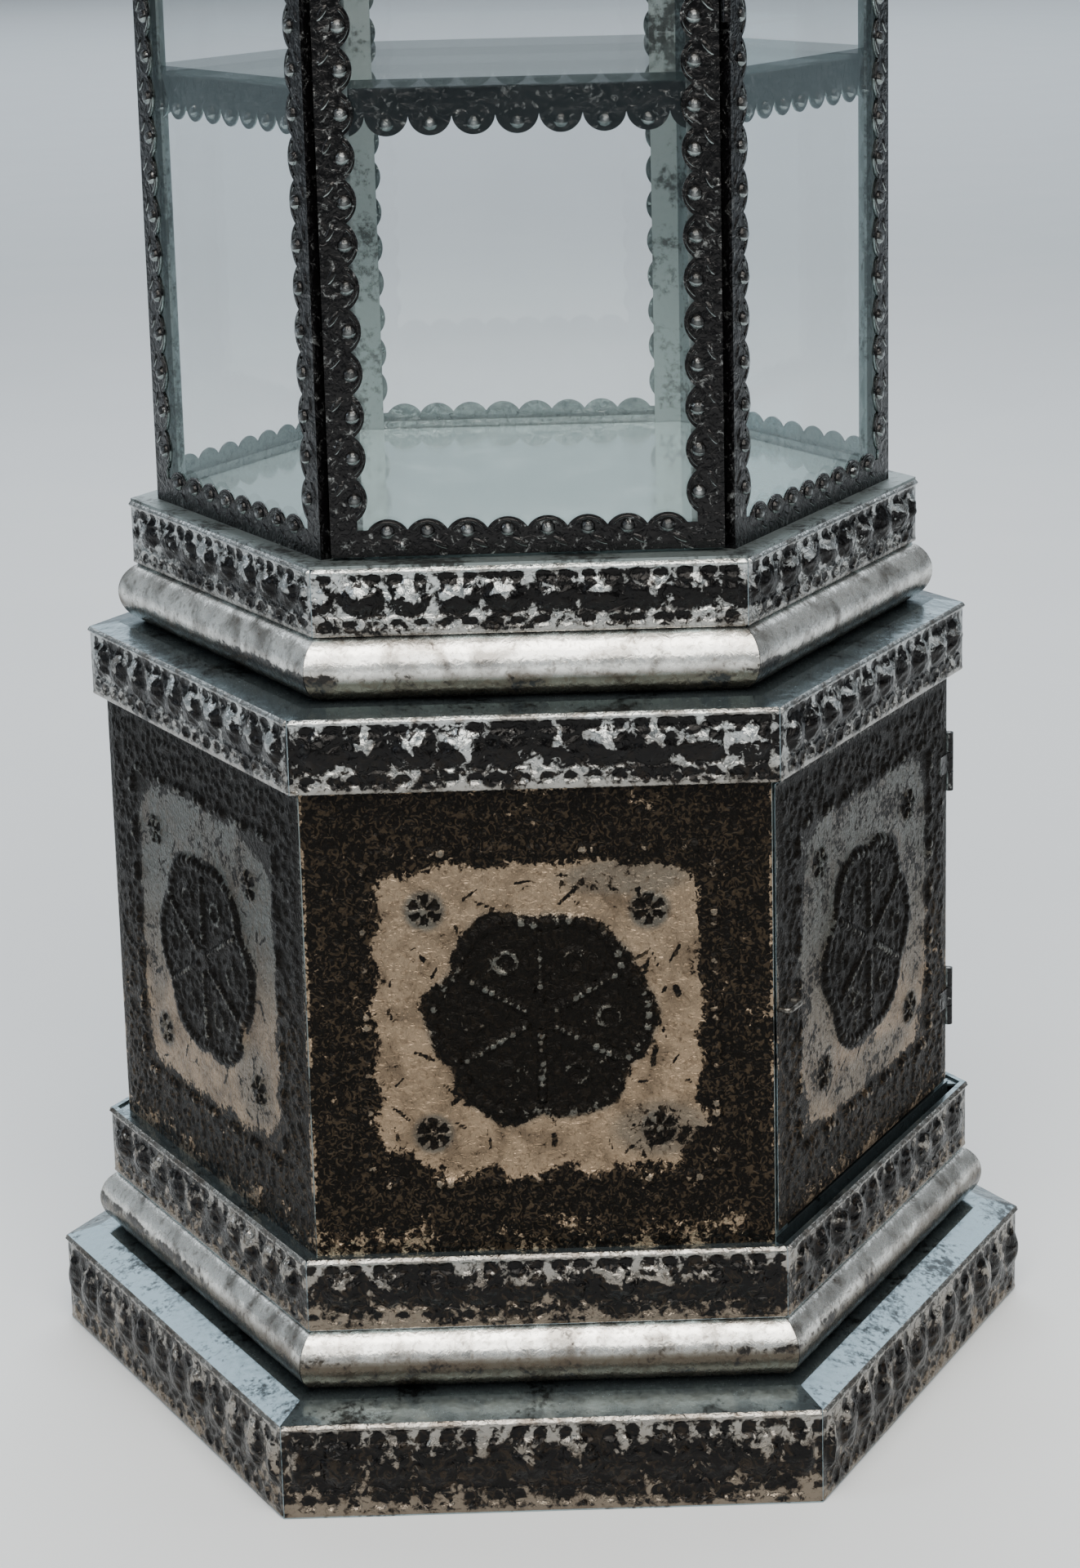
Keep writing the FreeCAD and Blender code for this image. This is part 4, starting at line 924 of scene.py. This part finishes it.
roof = pressed_sheet("roof_embossing", 130, 110, roof_form, BAND_TIN, "cabinet", ALL_TURNS)

# %% [markdown]
# ## Domes on the scalloped strips
# Every scallop of the tin strips carries a pressed dome inside a raised arc, with
# a slanting leaf beside it. They could be pressed into a fine grid like the
# panels, but hundreds of them need few faces each. So every stamp is modelled
# once: the dome is a ball that is cut in half, the leaf is the same dome drawn
# out, and the arc is a sector of a ring. Then they are copied along the strips.

# %% Domes: the stamps
def cut_away(cuts):
    """Halves the active mesh at planes, given by a point and a normal, and keeps the far side."""
    bpy.ops.object.mode_set(mode="EDIT")
    for point, normal in cuts:
        bpy.ops.mesh.select_all(action="SELECT")
        bpy.ops.mesh.bisect(plane_co=point, plane_no=normal, clear_inner=True)
    bpy.ops.object.mode_set(mode="OBJECT")
    piece = bpy.context.object
    points = np.array([v.co for v in piece.data.vertices])
    faces = [tuple(p.vertices) for p in piece.data.polygons]
    bpy.data.objects.remove(piece)
    return points, faces


def half_ball(width, length, height):
    """Half a ball, flattened to the stamp's size, as points and faces in millimetres."""
    bpy.ops.object.select_all(action="DESELECT")
    bpy.ops.mesh.primitive_uv_sphere_add(segments=10, ring_count=6, radius=1)
    points, faces = cut_away([((0, 0, 0), (0, 0, 1))])
    return points * (width, length, height), faces


def arc_ridge(radius, half_angle, width, height):
    """A raised line along an arc whose top is at the origin, as points and faces."""
    bpy.ops.object.select_all(action="DESELECT")
    bpy.ops.mesh.primitive_torus_add(major_radius=radius, minor_radius=width / 2,
                                     major_segments=28, minor_segments=6)
    sector = (0, radius * math.cos(half_angle), 0)
    points, faces = cut_away([((0, 0, -0.05), (0, 0, 1)), (sector, (0, 1, 0))])
    return points * (1, 1, 2 * height / width) - (0, radius, 0), faces


DOME = half_ball(2.1, 2.1, 1.5)
LEAF = half_ball(0.9, 2.6, 0.4)
ARC = arc_ridge(5.3, 0.95, 0.9, 0.3)
print("faces of a dome, a leaf and an arc:", len(DOME[1]), len(LEAF[1]), len(ARC[1]))

# %% Domes: copies on a face
# A dome's crown is bare above this height: worn, and partly a painted highlight.
CROWN, CROWN_RISE = 1.25, 0.25  # a dome is rubbed bare above this height
SUNK = 0.05  # how far a stamp's foot is sunk in its strip


def stamped(name, marks, face, turn, body):
    """Copies of the stamps on a face. A mark is a stamp, a place on the face and a turn on it."""
    points, faces, rubbed = [], [], []
    wear_and_highlight = np.random.default_rng(71 + turn)
    first = 0
    for (shape, skin), x, z, spin in marks:
        # Painted highlight, partly wear: each dome's crown is bare by its own random share.
        crown = np.clip((shape[:, 2] - CROWN) / CROWN_RISE, 0, 1)
        rubbed.append(wear_and_highlight.uniform(0.15, 1.0) * crown)
        c, s = math.cos(spin), math.sin(spin)
        sideways = x + shape[:, 0] * c - shape[:, 1] * s
        height = z + shape[:, 0] * s + shape[:, 1] * c
        points.append(turned(sideways, face - SUNK + shape[:, 2], height, turn))
        faces += [tuple(i + first for i in corners) for corners in skin]
        first += len(shape)
    mesh = bpy.data.meshes.new(name)
    mesh.from_pydata(np.concatenate(points).tolist(), [], faces)
    layer = mesh.attributes.new("rubbed", "FLOAT", "POINT")
    layer.data.foreach_set("value", np.concatenate(rubbed))
    mesh.materials.append(DOME_TIN)
    piece = bpy.data.objects.new(name, mesh)
    bpy.context.scene.collection.objects.link(piece)
    select_only(piece)
    bpy.ops.object.mode_set(mode="EDIT")
    bpy.ops.mesh.select_all(action="SELECT")
    bpy.ops.mesh.normals_make_consistent(inside=False)
    bpy.ops.object.mode_set(mode="OBJECT")
    bpy.ops.object.shade_smooth()
    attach(piece, body)
    print(name, "stamps:", len(marks))


# %% [markdown]
# ### Where the stamps go
# The scallops are cut in the solids, evenly between two mitres, so the same sum
# gives their middles here. A hand-held punch never lands quite in the middle:
# along the uprights each dome is off by up to a quarter of a millimetre.

# %% Domes: along the frames
STRIP, SCALLOP, PITCH = 7.4, 3.0, 11.6
DOME_BACK, ARC_OUT = 0.5, 2.1  # from the strip's straight edge
LEAF_BACK, LEAF_RAIL, LEAF_ASIDE = 4.4, 3.2, 3.4
LANTERN_FACE = -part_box("lantern_door_frame")[0].y / MM
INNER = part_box("lantern_door_frame")[1].x / MM - STRIP
FRAMES = [("lantern_door", "lantern_door_frame", "lantern_door")]
for label in ("front_right", "back_right", "back", "back_left", "front_left"):
    FRAMES.append((label, f"frame_{label}", "cabinet"))


def scallop_middles(start, end):
    """The middles of the scallops between two mitres."""
    span = (end - start) - 2 * 0.9 * SCALLOP
    count = max(1, round(span / PITCH))
    return [start + 0.9 * SCALLOP + span * (i + 0.5) / count for i in range(count)]


for turn, (label, node, body) in zip(ALL_TURNS, FRAMES):
    low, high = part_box(node)
    foot, head = low.z / MM, high.z / MM
    marks = []
    for side in (-1, 1):
        for z in scallop_middles(foot + STRIP, head - STRIP):
            jog = dice.uniform(-0.25, 0.25)
            marks.append((DOME, side * (INNER + DOME_BACK + jog), z + jog, 0))
            marks.append((ARC, side * (INNER - ARC_OUT), z, side * math.pi / 2))
            marks.append((LEAF, side * (INNER + LEAF_BACK), z + LEAF_ASIDE, side * 0.5 + jog))
    for edge, sign, spin in ((foot, 1, 0), (head, -1, math.pi)):
        for x in scallop_middles(-INNER, INNER):
            marks.append((DOME, x, edge + sign * (STRIP - DOME_BACK), 0))
            marks.append((ARC, x, edge + sign * (STRIP + ARC_OUT), spin))
            marks.append((LEAF, x + LEAF_ASIDE, edge + sign * LEAF_RAIL, 1.1))
    stamped(f"{label}_domes", marks, LANTERN_FACE, turn, body)

# %% Domes: along the valances
VALANCE_END, DOME_RISE = 1.05, 3.3
for shelf in ("lower", "upper"):
    low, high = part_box(f"{shelf}_valance")
    face = high.y / MM
    half = face * SIDE - VALANCE_END
    count = max(1, round(2 * half / PITCH))
    middles = [-half + 2 * half * (i + 0.5) / count for i in range(count)]
    for turn in ALL_TURNS:
        marks = [(DOME, x, low.z / MM + DOME_RISE, 0) for x in middles]
        stamped(f"{shelf}_valance_domes_{turn}", marks, face, turn, "cabinet")
